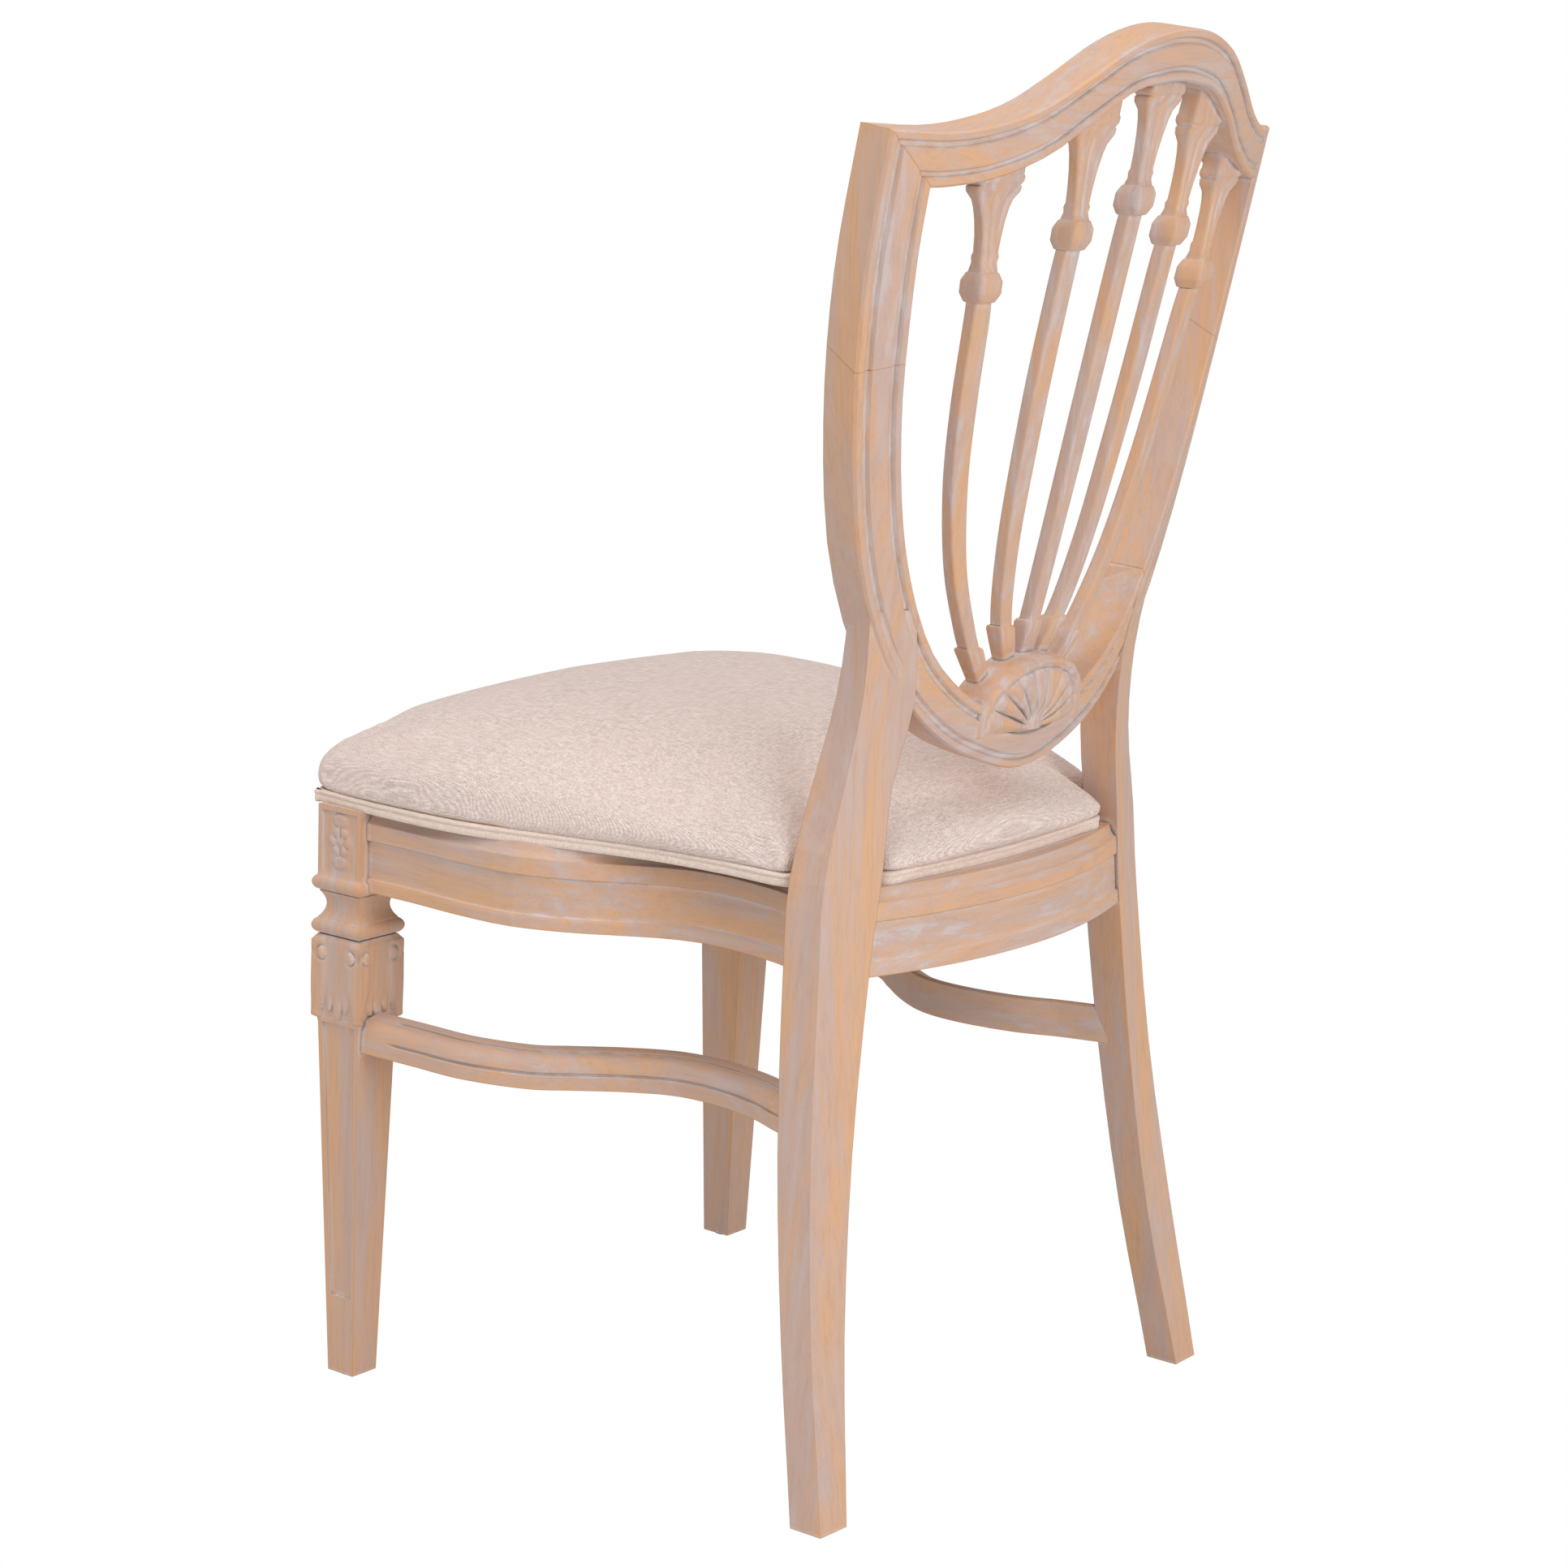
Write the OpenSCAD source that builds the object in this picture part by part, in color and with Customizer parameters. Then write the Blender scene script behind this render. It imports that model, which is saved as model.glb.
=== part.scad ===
// A shield-back dining chair: square tapered front legs with carved capitals, sabre back legs that
// sweep up into a dished shield back with five ribs, serpentine rails and stretchers, and a pad.
// X runs to the sitter's left, Y runs backward, Z runs up from the floor.

/* [Overall] */
// Height over the crest of the back
chair_h = 969; // [950:1:990]
// Width between the centres of the front legs
front_w = 430; // [424:1:440]
// Width over the heels of the back feet
heel_w = 460; // [452:1:468]
// Distance from the front leg centres back to the heels
run = 433; // [428:1:440]
// Distance from the front leg centres back to the back rail's lower face
seat_run = 420; // [417:1:422]
// Height of the seat rails' top edge at the front legs
rail_top = 417; // [411:1:421]
// How much lower the seat is at the back rail
seat_drop = 5; // [3:0.5:7]

/* [Front legs] */
// Width of the square foot
foot_w = 24; // [22:0.5:27]
// Width of the shaft where it meets the capital
shaft_w = 38.5; // [35:0.5:39.5]
// Width of the square block that takes the rails
block_w = 40; // [39:0.5:42]
// Width over the two rounded collars
collar_w = 46; // [44:0.5:48]
// Width of the narrow neck between the collars
neck_w = 31; // [28:0.5:33]
// Widest part of the carved capital
capital_w = 46.5; // [44:0.5:48]
// Height of the capital
capital_h = 60; // [54:1:64]
// Height of each rounded collar
collar_h = 12; // [10:0.5:13]
// Height of the neck between the collars
neck_h = 19; // [17:0.5:21]
// Plain border round the sunk panels
panel_border = 4; // [3:0.5:5]
// Depth of the sunk panels
panel_sink = 1.5; // [1:0.25:2]
// Diameter of the carved rosette in the block's panel
rosette_d = 22; // [18:0.5:24]

/* [Back legs] */
// Width of the leg's rear face where the seat rail meets it
leg_w = 46; // [44:0.5:48]
// Depth of the leg from front to back at the rail
leg_d = 29; // [28:0.5:31]
// How far the heel kicks back behind the leg's narrowest place
kick = 52; // [48:1:55]

/* [Shield back] */
// Width over the shield at its widest
shield_w = 446; // [440:1:452]
// Height of the shield's lower tip
tip_z = 475; // [471:1:479]
// Height of the shield's two upper corners
ear_z = 901; // [894:1:906]
// Width of the moulded band that frames the shield
band_w = 33; // [31:0.5:35]
// Thickness of the shield from front to back
back_t = 31; // [29:0.5:33]
// Backward lean of the shield, in degrees
rake = 11.9; // [11.4:0.1:12.4]
// Radius of the shield's dished rear face, seen from above
dish_r = 450; // [435:5:470]
// Depth of the two grooves worked along the band
groove_d = 2.5; // [1.5:0.25:3]
// Distance from the front leg centres back to the shield's tip
tip_run = 406; // [403:1:409]

/* [Ribs] */
// Greatest width of a rib's shaft
rib_w = 16.5; // [15:0.5:18]
// Thickness of a rib's shaft
rib_t = 10; // [9:0.5:12]
// Width of the square knops
knop_w = 19.6; // [18:0.2:21]
// Height of the square knops
knop_h = 24; // [21:0.5:26]
// Width of the block under the crest that ends each rib
cap_w = 34; // [30:0.5:37]
// Thickness of the block that ends each rib
cap_t = 17; // [15:0.5:19]
// Height of the leaf collar at each rib's foot
leaf_h = 13; // [11:0.5:15]
// Half width of the shell that the ribs rise from
fan_r = 61; // [58:1:64]
// Height of the shell above the shield's band
fan_h = 43; // [40:1:46]
// Thickness of the shell
fan_t = 27; // [25:0.5:29]
// Width and thickness of the tenons that end each rib
rib_tenon = 7; // [6:0.5:8]
// Length of the tenons that end each rib
rib_tenon_l = 8; // [6:0.5:10]

/* [Rails and stretchers] */
// Height of the seat rails
rail_h = 57.5; // [55:0.5:59]
// Thickness of the seat rails
rail_t = 23; // [21:0.5:25]
// How far the rails stand in from the leg blocks' outer faces
rail_set = 5; // [4:0.5:6]
// Height of the moulding along the rails' top edge
top_moulding_h = 21; // [19:0.5:23]
// Height of the hollow at the top of that moulding
cove_h = 9; // [7.5:0.5:10]
// How far the rails' top edge stands in from their face
cove_in = 5.5; // [4:0.5:7]
// Height of the moulding along the rails' lower edge
foot_moulding_h = 10; // [8:0.5:12]
// How far the rails' middle panels are sunk
rail_sink = 2; // [1:0.25:3]
// How far the front rail bows forward at its middle
front_bow = 27; // [24:1:29]
// How far the back rail bows backward at its middle
back_bow = 24; // [22:1:26]
// How far the back rail's lower moulding stands out
back_foot = 3; // [1:0.5:5]
// Height of the stretchers' lower edge
stretch_z = 244; // [238:1:248]
// Height of the stretchers
stretch_h = 27; // [24:0.5:29]
// Thickness of the stretchers
stretch_t = 18; // [16:0.5:20]
// Height of the stretchers' upright outer face, below their rounded top
stretch_face_h = 15.5; // [13:0.5:18]

/* [Joints and hardware] */
// Thickness of the tenons on rails and stretchers
tenon_t = 8; // [7:0.5:9]
// Length of the tenons on rails and stretchers
tenon_l = 14; // [12:0.5:16]
// Height of the rails' tenons
tenon_h = 32; // [28:1:35]
// Height of the stretchers' tenons
stretch_tenon_h = 18; // [16:0.5:20]
// Free space round each tenon
tenon_gap = 0.1; // [0.05:0.05:0.2]
// Diameter of the dowels in the shield's joints
dowel_d = 7; // [6:0.5:8]
// Length of the dowels in the shield's joints
dowel_l = 22; // [18:1:24]
// Height of the corner blocks
corner_h = 28; // [25:0.5:31]
// Reach of a front corner block along each rail
corner_reach = 48; // [45:1:52]
// Drop of the corner blocks below the rails' top
corner_drop = 3; // [2:0.5:4]
// Diameter of the screw shanks
screw_d = 4; // [3.5:0.5:5]
// Diameter of the screw heads
head_d = 8; // [7:0.5:9]
// Height of the screw heads
head_h = 3; // [2.5:0.25:3.5]
// How far the screws bite into the rails and the seat board
screw_bite = 5; // [4:0.5:6]
// Wood left under the head of a corner block's side screw
screw_seat = 9; // [8:0.5:10]
// Diameter of the plain plugs in the back rail's top
plug_d = 8; // [7:0.5:9]
// Diameter of the glides under the feet
glide_d = 17; // [15:0.5:19]
// Thickness of the glides' heads
glide_h = 2; // [1.5:0.25:2.5]
// Diameter of the glides' nails
nail_d = 3; // [2.5:0.25:3.5]
// Length of the glides' nails
nail_l = 14; // [11:0.5:16]

/* [Seat pad] */
// Thickness of the cloth under the seat board
dust_t = 0.8; // [0.6:0.1:1.2]
// Thickness of the plywood seat board
board_t = 7; // [6:0.5:9]
// Thickness of the cover's cloth
cloth_t = 1.5; // [1.2:0.1:2]
// How far the pad's board stands in from the leg blocks' outer faces
pad_set = 3; // [2:0.5:4]
// How far the pad's corners stand in front of the front legs
pad_over = 9.5; // [8:0.5:11]
// Height of the pad's side above the board
side_h = 35; // [32:0.5:37]
// Extra height at the pad's crown
crown_h = 39.5; // [36:0.5:42]
// How far the pad's side swells past the board
bulge = 7; // [5:0.5:8]
// How far the pad's front edge bows forward
pad_bow = 21.5; // [19:0.5:24]
// Free space between the pad and the back legs
notch_gap = 9; // [7:0.5:11]
// Distance from the pad's rear edge to the back rail's lower face
pad_ledge = 21; // [19:1:23]

/* [Hidden] */
$fn = 48;

WOOD = [0.80, 0.66, 0.54];
PLY = [0.76, 0.64, 0.46];
CLOTH = [0.90, 0.83, 0.78];
BAND = [0.92, 0.85, 0.76];
FOAM = [0.93, 0.88, 0.66];
BLACK = [0.10, 0.10, 0.10];
STEEL = [0.70, 0.70, 0.72];

// One overrun serves all cuts, and one longer overrun carries a piece into its neighbour before it
// is trimmed to that neighbour's face
over = 1;
lap = 5;
// Clear space between soft solids that lie against each other
soft_gap = 0.3;

// Places that several pieces share, with Y counted so that the chair reaches as far to the front as
// to the back
front_x = front_w / 2;
back_rise_share = 0.094;
crest_back_z = chair_h - back_t * back_rise_share;
back_reach = tip_run + (crest_back_z - tip_z) * tan(rake);
front_reach = block_w / 2 + pad_over + pad_bow + bulge;
front_y = (front_reach - back_reach) / 2;
heel_y = front_y + run;
tip_y = front_y + tip_run;
back_rail_y = front_y + seat_run;
rail_bottom = rail_top - rail_h;
rail_mid = rail_top - rail_h / 2;
collar_top = rail_bottom + collar_h * 2 / 3;
capital_top = collar_top - 2 * collar_h - neck_h;
capital_bottom = capital_top - capital_h;
board_z = rail_top + dust_t;
pad_z = board_z + board_t;
hump = crest_back_z - ear_z;

function mix(a, b, share) = a + (b - a) * share;
// The seat frame falls evenly from the front legs to the back rail
fall_y = front_y + block_w / 2;
function fall(y) = seat_drop * max(0, y - fall_y) / seat_run;
module tilted() translate([0, fall_y, rail_top]) rotate([-atan(seat_drop / seat_run), 0, 0])
    translate([0, -fall_y, -rail_top]) children();
function unit(v) = v / norm(v);
// Smooth curve through a list of places; u counts from the list's second entry, and the first and
// last entries only steer the ends
function spline(p, u) =
    let (i = max(0, min(floor(u), len(p) - 4)), t = u - i)
    (2 * p[i + 1] + (p[i + 2] - p[i]) * t
     + (2 * p[i] - 5 * p[i + 1] + 4 * p[i + 2] - p[i + 3]) * t * t
     + (3 * p[i + 1] - p[i] - 3 * p[i + 2] + p[i + 3]) * t * t * t) / 2;

// A closed solid through a list of rings that all have the same number of points; an end that isn't
// flat is closed from the ring's last two points
function sum_of(list) = [for (v = list) 1] * list;
function end_faces(n, flat) = let (half = floor(n / 2) - 1) flat ? [[for (i = [0 : n - 1]) i]] : concat(
    [for (i = [0 : 1 : half - 1]) [n - 1, i, i + 1]], [[n - 1, half, n - 2]],
    [for (i = [half : 1 : n - 4]) [n - 2, i, i + 1]]);
module loft(rings, flat = false) {
    n = len(rings[0]);
    last = len(rings) - 1;
    middle = sum_of(rings[0]) / n;
    normal = sum_of([for (i = [0 : n - 1]) cross(rings[0][i] - middle, rings[0][(i + 1) % n] - middle)]);
    ahead = sum_of(rings[1]) / n - middle;
    order = normal * ahead > 0 ? [0 : last] : [last : -1 : 0];
    ends = end_faces(n, flat);
    sides = [for (k = [0 : last - 1], i = [0 : n - 1]) let (j = (i + 1) % n)
        each [[k * n + i, (k + 1) * n + i, k * n + j], [k * n + j, (k + 1) * n + i, (k + 1) * n + j]]];
    far_end = [for (f = ends) [for (i = [len(f) - 1 : -1 : 0]) last * n + f[i]]];
    polyhedron(points = [for (k = order) each rings[k]], faces = concat(ends, sides, far_end));
}
module mirrored() mirror([1, 0, 0]) children();
// A round pin or hole that starts at a place and runs along a direction
module pin(place, along, d, l) {
    v = unit(along);
    translate(place) rotate([0, acos(v[2]), atan2(v[1], v[0])]) cylinder(d = d, h = l);
}
// A block between two opposite corners, and a block round a middle
module span(low, high) translate(low) cube(high - low);
module middle_block(middle, size) translate(middle) cube(size, center = true);

// Front legs: one half outline serves both views, so every moulding runs round the square leg
turn_shares = [0.72, 0.4, 0, -0.4, -0.72];
capital_shares = [[1, -0.3], [0.93, 0.5], [0.8, 0.85], [0.55, 0.97], [0.25, 1], [0.08, 1], [0.02, 0.8], [0, 0.1]];
neck_shares = [0.95, 0.6, 0, -0.6, -0.95];
function collar(z) = let (r = collar_h / 2)
    [for (s = turn_shares) [collar_w / 2 - r + r * cos(90 * s), z + r * sin(90 * s)]];
function leg_outline() = concat(
    [[block_w / 2, rail_top]],
    collar(collar_top - collar_h / 2),
    [for (s = neck_shares) [mix(neck_w, block_w, (1 - cos(90 * s)) / 2) / 2,
        collar_top - collar_h - neck_h * (1 - s) / 2]],
    collar(capital_top + collar_h / 2),
    [for (s = capital_shares) [mix(shaft_w, capital_w, s[1]) / 2, mix(capital_bottom, capital_top, s[0])]],
    [[foot_w / 2, glide_h]]
);
module both_ways(half) {
    outline = concat(half, [for (i = [len(half) - 1 : -1 : 0]) [-half[i][0], half[i][1]]]);
    intersection() {
        rotate([90, 0, 0]) linear_extrude(2 * collar_w, center = true) polygon(outline);
        rotate([90, 0, 90]) linear_extrude(2 * collar_w, center = true) polygon(outline);
    }
}
function shaft_half(z) = mix(foot_w, shaft_w, (z - glide_h) / (capital_bottom - glide_h)) / 2;
panel_foot_share = 0.22;
// The long sunk panel on the leg's +X face
module shaft_panel() loft([
    for (z = [mix(glide_h, capital_bottom, panel_foot_share), capital_bottom - panel_border])
        let (h = shaft_half(z), w = h - panel_border)
        [[h - panel_sink, -w, z], [h - panel_sink, w, z], [h + over, w, z], [h + over, -w, z]]]);
module rosette_panel() {
    half = block_w / 2 - panel_border;
    depth = block_w / 2 - panel_sink;
    middle = (collar_top + rail_top) / 2;
    height = (rail_top - collar_top) / 2 - panel_border;
    difference() {
        span([depth, -half, middle - height], [block_w / 2 + over, half, middle + height]);
        translate([depth, 0, middle]) rotate([0, 90, 0])
            cylinder(d1 = rosette_d, d2 = rosette_d / 2, h = panel_sink);
    }
}
module front_leg_shape() translate([front_x, front_y, 0]) both_ways(leg_outline());
module front_leg() color(WOOD) difference() {
    front_leg_shape();
    translate([front_x, front_y, 0]) for (turn = [0, -90]) rotate([0, 0, turn]) {
        shaft_panel();
        rosette_panel();
    }
    side_rail_tenons(tenon_gap);
    front_rail_tenon(tenon_gap);
    stretcher_tenons(tenon_gap);
    glide_nail(front_x, front_y);
}
module front_leg_left() front_leg();
module front_leg_right() mirrored() front_leg();

// The dished rear face of the back, and places at a given depth in front of it: the shield's edges
// turn partly with the dish and rise a little, and the ribs' go straight forward
back_turn_share = 0.53;
function dish(x) = dish_r - sqrt(dish_r * dish_r - x * x);
function rear_y(x, z) = tip_y + (z - tip_z) * tan(rake) - dish(x);
function back_place(p, depth) = let (turn = asin(p[0] / dish_r) * back_turn_share)
    [p[0] - depth * sin(turn), rear_y(p[0], p[1]) - depth * cos(turn), p[1] + depth * back_rise_share];
function rib_place(p, depth) = [p[0], rear_y(p[0], p[1]) - depth, p[1]];

// The shield's outline as shares of its half width and of its height, from the tip up to the ear,
// and the step from there across the moulded band in band widths
side_shares = [[-0.224, 0.026], [0, 0], [0.224, 0.026], [0.448, 0.083], [0.655, 0.189],
    [0.821, 0.356], [0.924, 0.563], [0.982, 0.781], [0.9955, 1], [1, 1.2]];
side_band_shares = [[0.36, 0.95], [0, 1.03], [-0.36, 0.95], [-0.52, 0.87], [-0.77, 0.58],
    [-0.89, 0.36], [-0.91, 0.19], [-0.955, 0.06], [-0.955, -1.06], [-0.955, -2.2]];
// The crest's outline and its band, from its middle out to the ear
crest_shares = [[-0.135, 0.952], [0, 1], [0.135, 0.952], [0.278, 0.788], [0.426, 0.482],
    [0.56, 0.213], [0.695, 0.058], [0.83, -0.015], [0.9955, 0], [1.16, 0.015]];
crest_band_shares = [[0.24, -0.97], [0, -1.01], [-0.24, -0.97], [-0.455, -0.79], [-0.515, -0.71],
    [-0.445, -0.85], [-0.24, -0.985], [-0.27, -1], [-0.955, -1.06], [-1.6, -1.1]];
function side_place(u, t) = let (p = spline(side_shares, u), b = spline(side_band_shares, u))
    [p[0] * shield_w / 2 + b[0] * band_w * t, mix(tip_z, ear_z, p[1]) + b[1] * band_w * t];
function crest_place(u, t) = let (p = spline(crest_shares, u), b = spline(crest_band_shares, u))
    [p[0] * shield_w / 2 + b[0] * band_w * t, ear_z + hump * p[1] + b[1] * band_w * t];
ear_u = len(side_shares) - 3;

// Section of the moulded band: the share across it and the share of the groove's depth
band_shares = [[0, 0.8], [0.04, 0], [0.15, 0], [0.18, 1], [0.27, 1], [0.31, 0.1], [0.69, 0.1],
    [0.73, 1], [0.8, 1], [0.84, 0], [0.96, 0], [1, 0.8]];
function flip(p, side) = [p[0] * side, p[1]];
// One ring of the band; lean moves its front along the curve, and skew turns it across the curve
function side_ring(u, lean = 0, skew = 0) = let (side = u < 0 ? -1 : 1, a = abs(u)) concat(
    [for (s = band_shares)
        back_place(flip(side_place(a + skew * (s[0] - 0.5), s[0]), side), s[1] * groove_d)],
    [for (t = [1, 0]) back_place(flip(side_place(a + lean + skew * (t - 0.5), t), side), back_t)]);
function crest_ring(u) = let (side = u < 0 ? -1 : 1, a = abs(u)) concat(
    [for (s = band_shares) back_place(flip(crest_place(a, s[0]), side), s[1] * groove_d)],
    [for (t = [1, 0]) back_place(flip(crest_place(a, t), side), back_t)]);

// Where the shield's base meets the legs, and where the legs are spliced to the stiles, counted
// along the outline's places
base_end = 2.9;
base_skew = 1;
skew_from = 1.4;
skew_to = 4.4;
splice = 5.4;
splice_lean = 0.13;
function joint_skew(u) = base_skew * max(0, u < base_end
    ? (u - skew_from) / (base_end - skew_from) : (skew_to - u) / (skew_to - base_end));
base_steps = 13;
leg_band_steps = 10;
stile_steps = 6;
crest_steps = 22;
module shield_base_shape() loft([for (k = [-base_steps : base_steps])
    let (u = base_end * k / base_steps) side_ring(u, 0, joint_skew(abs(u)))]);
module leg_band_shape() loft([for (k = [0 : leg_band_steps]) let (q = k / leg_band_steps,
    u = mix(base_end, splice, q)) side_ring(u, splice_lean * q, joint_skew(u))]);
module stile_shape() loft([for (k = [0 : stile_steps])
    let (q = k / stile_steps) side_ring(mix(splice, ear_u, q), splice_lean * (1 - q))]);
module crest_shape() loft([for (k = [-crest_steps : crest_steps]) crest_ring(ear_u * k / crest_steps)]);

// Dowels across the shield's joints: two in each base joint and two in each mitred ear
base_dowel_shares = [0.3, 0.7];
ear_dowel_shares = [0.3, 0.7];
function band_middle(u, t, depth_share = 0.5) = back_place(side_place(u, t), back_t * depth_share);
module base_dowels() for (t = base_dowel_shares) {
    u = base_end + base_skew * (t - 0.5);
    v = unit(band_middle(u + 0.1, t) - band_middle(u - 0.1, t));
    pin(band_middle(u, t) - v * dowel_l / 2, v, dowel_d, dowel_l);
}
module ear_dowels() for (share = ear_dowel_shares) {
    along = band_middle(ear_u, 1) - band_middle(ear_u, 0);
    through = band_middle(ear_u, 0.5, 1) - band_middle(ear_u, 0.5, 0);
    v = unit(cross(along, through));
    pin(band_middle(ear_u, 0.5, share) - v * dowel_l / 2, v, dowel_d, dowel_l);
}
module shield_dowels() color(PLY) {
    base_dowels();
    mirrored() base_dowels();
    ear_dowels();
    mirrored() ear_dowels();
}

// Back legs: stations from the floor up to where the leg merges into the shield, as shares of the
// rise, of the way in from the heel, of the kick, of the widths, and of the shield's turn
leg_shares = [
    [-0.2, -0.17, -0.35, 0.5, 0.85, 0.05, 0, 0],
    [0, 0, 0, 0.59, 0.86, 0.08, 0, 0],
    [0.2, 0.183, 0.427, 0.74, 0.845, 0.14, 0, 0],
    [0.4, 0.417, 0.754, 0.8, 0.93, 0.48, 0, 0],
    [0.6, 0.64, 0.94, 0.91, 1, 0.7, 0, 0],
    [0.7, 0.733, 0.998, 1, 0.96, 0.83, 0, 0],
    [0.8, 0.97, 0.971, 0.84, 0.95, 0.87, 0.3, 0.1],
    [0.9, 1.1, 0.84, 0.88, 0.93, 0.95, 0.7, 0.5],
    [1, 1, 0.69, 0.76, 0.9, 1, 1, 1],
    [1.1, 0.85, 0.55, 0.7, 0.9, 1, 1, 1]
];
merge_u = 3.62;
merge_share = 0.985;
merge_outer = side_place(merge_u, 0);
merge_x = merge_outer[0] * merge_share;
merge_y = rear_y(merge_x, merge_outer[1]) - groove_d;
// The leg's four corners, rear outer, rear inner, front inner and front outer
function leg_corners(u) = let (
    s = spline(leg_shares, u),
    x = mix(heel_w / 2, merge_x, s[1]),
    shift = merge_y - (heel_y - kick * leg_shares[len(leg_shares) - 2][2]),
    y = heel_y - kick * s[2] + shift * s[7],
    z = mix(glide_h, merge_outer[1], s[0]),
    turn = asin(merge_x / dish_r) * s[5],
    side_turn = asin(merge_x / dish_r) * s[6],
    inner = [x - leg_w * s[3] * cos(turn), y + leg_w * s[3] * sin(turn), z],
    forward = leg_d * s[4] * [-sin(side_turn), -cos(side_turn), 0])
    [[x, y, z], inner, inner + forward, [x, y, z] + forward];
leg_steps = 21;
leg_span = len(leg_shares) - 3;
module leg_shape() loft([for (k = [0 : leg_steps]) leg_corners(leg_span * k / leg_steps)]);
// Sections of the leg at the height of the rails and of the stretchers
at_rail = leg_corners(3.4);
at_stretch = leg_corners(2.07);
leg_foot = (leg_corners(0)[0] + leg_corners(0)[2]) / 2;
// Inner corner of the notch that the seat pad leaves round the leg
notch = [leg_corners(4.5)[1][0] - notch_gap, leg_corners(4)[3][1] - notch_gap / 3];
module back_leg_shape() {
    leg_shape();
    leg_band_shape();
}
module back_leg() color(WOOD) difference() {
    back_leg_shape();
    side_rail_tenons(tenon_gap);
    back_rail_tenon(tenon_gap);
    stretcher_tenons(tenon_gap);
    base_dowels();
    glide_nail(leg_foot[0], leg_foot[1]);
}
module back_leg_left() back_leg();
module back_leg_right() mirrored() back_leg();
module stile() color(WOOD) difference() {
    stile_shape();
    ear_dowels();
}
module stile_left() stile();
module stile_right() mirrored() stile();

// Ribs: the centre line of each as places from its foot to the crest, as shares of the half width
// and of the height between the tip and the ears
outer_rib_shares = [[0.12, 0.1], [0.225, 0.174], [0.31, 0.238], [0.41, 0.34], [0.485, 0.47],
    [0.525, 0.594], [0.55, 0.716], [0.567, 0.773], [0.582, 0.85], [0.597, 0.913], [0.61, 1]];
inner_rib_shares = [[0.05, 0.15], [0.112, 0.204], [0.165, 0.27], [0.208, 0.376], [0.233, 0.505],
    [0.25, 0.64], [0.258, 0.79], [0.262, 0.848], [0.273, 0.92], [0.284, 0.996], [0.295, 1.1]];
middle_rib_shares = [[0, 0.1], [0, 0.207], [0, 0.27], [0, 0.376], [0, 0.505],
    [0, 0.67], [0, 0.84], [0, 0.898], [0, 0.98], [0, 1.064], [0, 1.15]];
knop_u = 6;
cap_u = 8;
// Sections along a rib: the place, the height from it, the width and the thickness as shares
foot_depth_share = 0.7;
knop_depth_share = 0.52;
rib_turn_share = 0.5;
function rib_middle(p, u) = let (s = spline(p, u))
    [s[0] * shield_w / 2, mix(tip_z, ear_z, s[1])];
function rib_ring(p, u, rise, w, t) = let (
    c = rib_middle(p, u),
    next = rib_middle(p, u + 0.05),
    x = c[0] + rise * (next[0] - c[0]) / (next[1] - c[1]),
    depth = back_t * mix(foot_depth_share, knop_depth_share, min(1, u / knop_u)),
    m = rib_place([x, c[1] + rise], depth),
    a = asin(x / dish_r) * rib_turn_share,
    across = w / 2 * [cos(a), -sin(a), 0],
    back = t / 2 * [sin(a), cos(a), 0])
    [m + across + back, m - across + back, m - across - back, m + across - back];
function rib_rings(p) = concat(
    [for (s = [[-1, 0.8], [0.15, 1], [0.8, 1.02]])
        rib_ring(p, 0, leaf_h * s[0], rib_w * s[1], rib_t * 1.35 * s[1])],
    [for (s = [[0.35, 0.76], [1, 0.78], [2, 0.84], [3, 0.95], [4, 1], [5, 0.96]])
        rib_ring(p, s[0], 0, rib_w * s[1], rib_t)],
    [rib_ring(p, knop_u, -knop_h / 2, rib_w * 0.85, rib_t)],
    [for (s = [[-0.46, 0.86], [-0.2, 1], [0.05, 1], [0.38, 0.84], [0.5, 0.7]])
        rib_ring(p, knop_u, knop_h * s[0], knop_w * s[1], knop_w * s[1])],
    [rib_ring(p, knop_u, knop_h * 0.51, rib_w * 0.92, rib_t)],
    [for (s = [[0.45, 0.68, 0.5], [0.75, 0.84, 0.52]]) rib_ring(p, mix(knop_u, cap_u, s[0]), 0,
        cap_w * s[1], cap_t * s[2])],
    [for (s = [[0.9, 0.92, 0.9], [0.93, 1, 1], [1.25, 1, 1]])
        rib_ring(p, mix(knop_u, cap_u, s[0]), 0, cap_w * s[1], cap_t * s[2])]
);
module rib_tenons(p, gap) {
    foot = rib_place(rib_middle(p, 0), back_t * foot_depth_share);
    top = rib_place(rib_middle(p, cap_u), back_t * knop_depth_share);
    size = rib_tenon + 2 * gap;
    middle_block(foot - [0, 0, leaf_h], [size, size, 2 * rib_tenon_l + 2 * gap]);
    middle_block(top + [0, 0, rib_tenon_l / 2], [size, size, 2 * rib_tenon_l + 2 * gap]);
}
module rib(p) color(WOOD) {
    difference() {
        loft(rib_rings(p));
        fan_shape();
        shield_base_shape();
        crest_shape();
    }
    rib_tenons(p, 0);
}
module rib_1() rib(outer_rib_shares);
module rib_2() rib(inner_rib_shares);
module rib_3() rib(middle_rib_shares);
module rib_4() mirrored() rib_2();
module rib_5() mirrored() rib_1();
module all_rib_tenons() {
    for (p = [outer_rib_shares, inner_rib_shares]) {
        rib_tenons(p, tenon_gap);
        mirrored() rib_tenons(p, tenon_gap);
    }
    rib_tenons(middle_rib_shares, tenon_gap);
}

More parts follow.
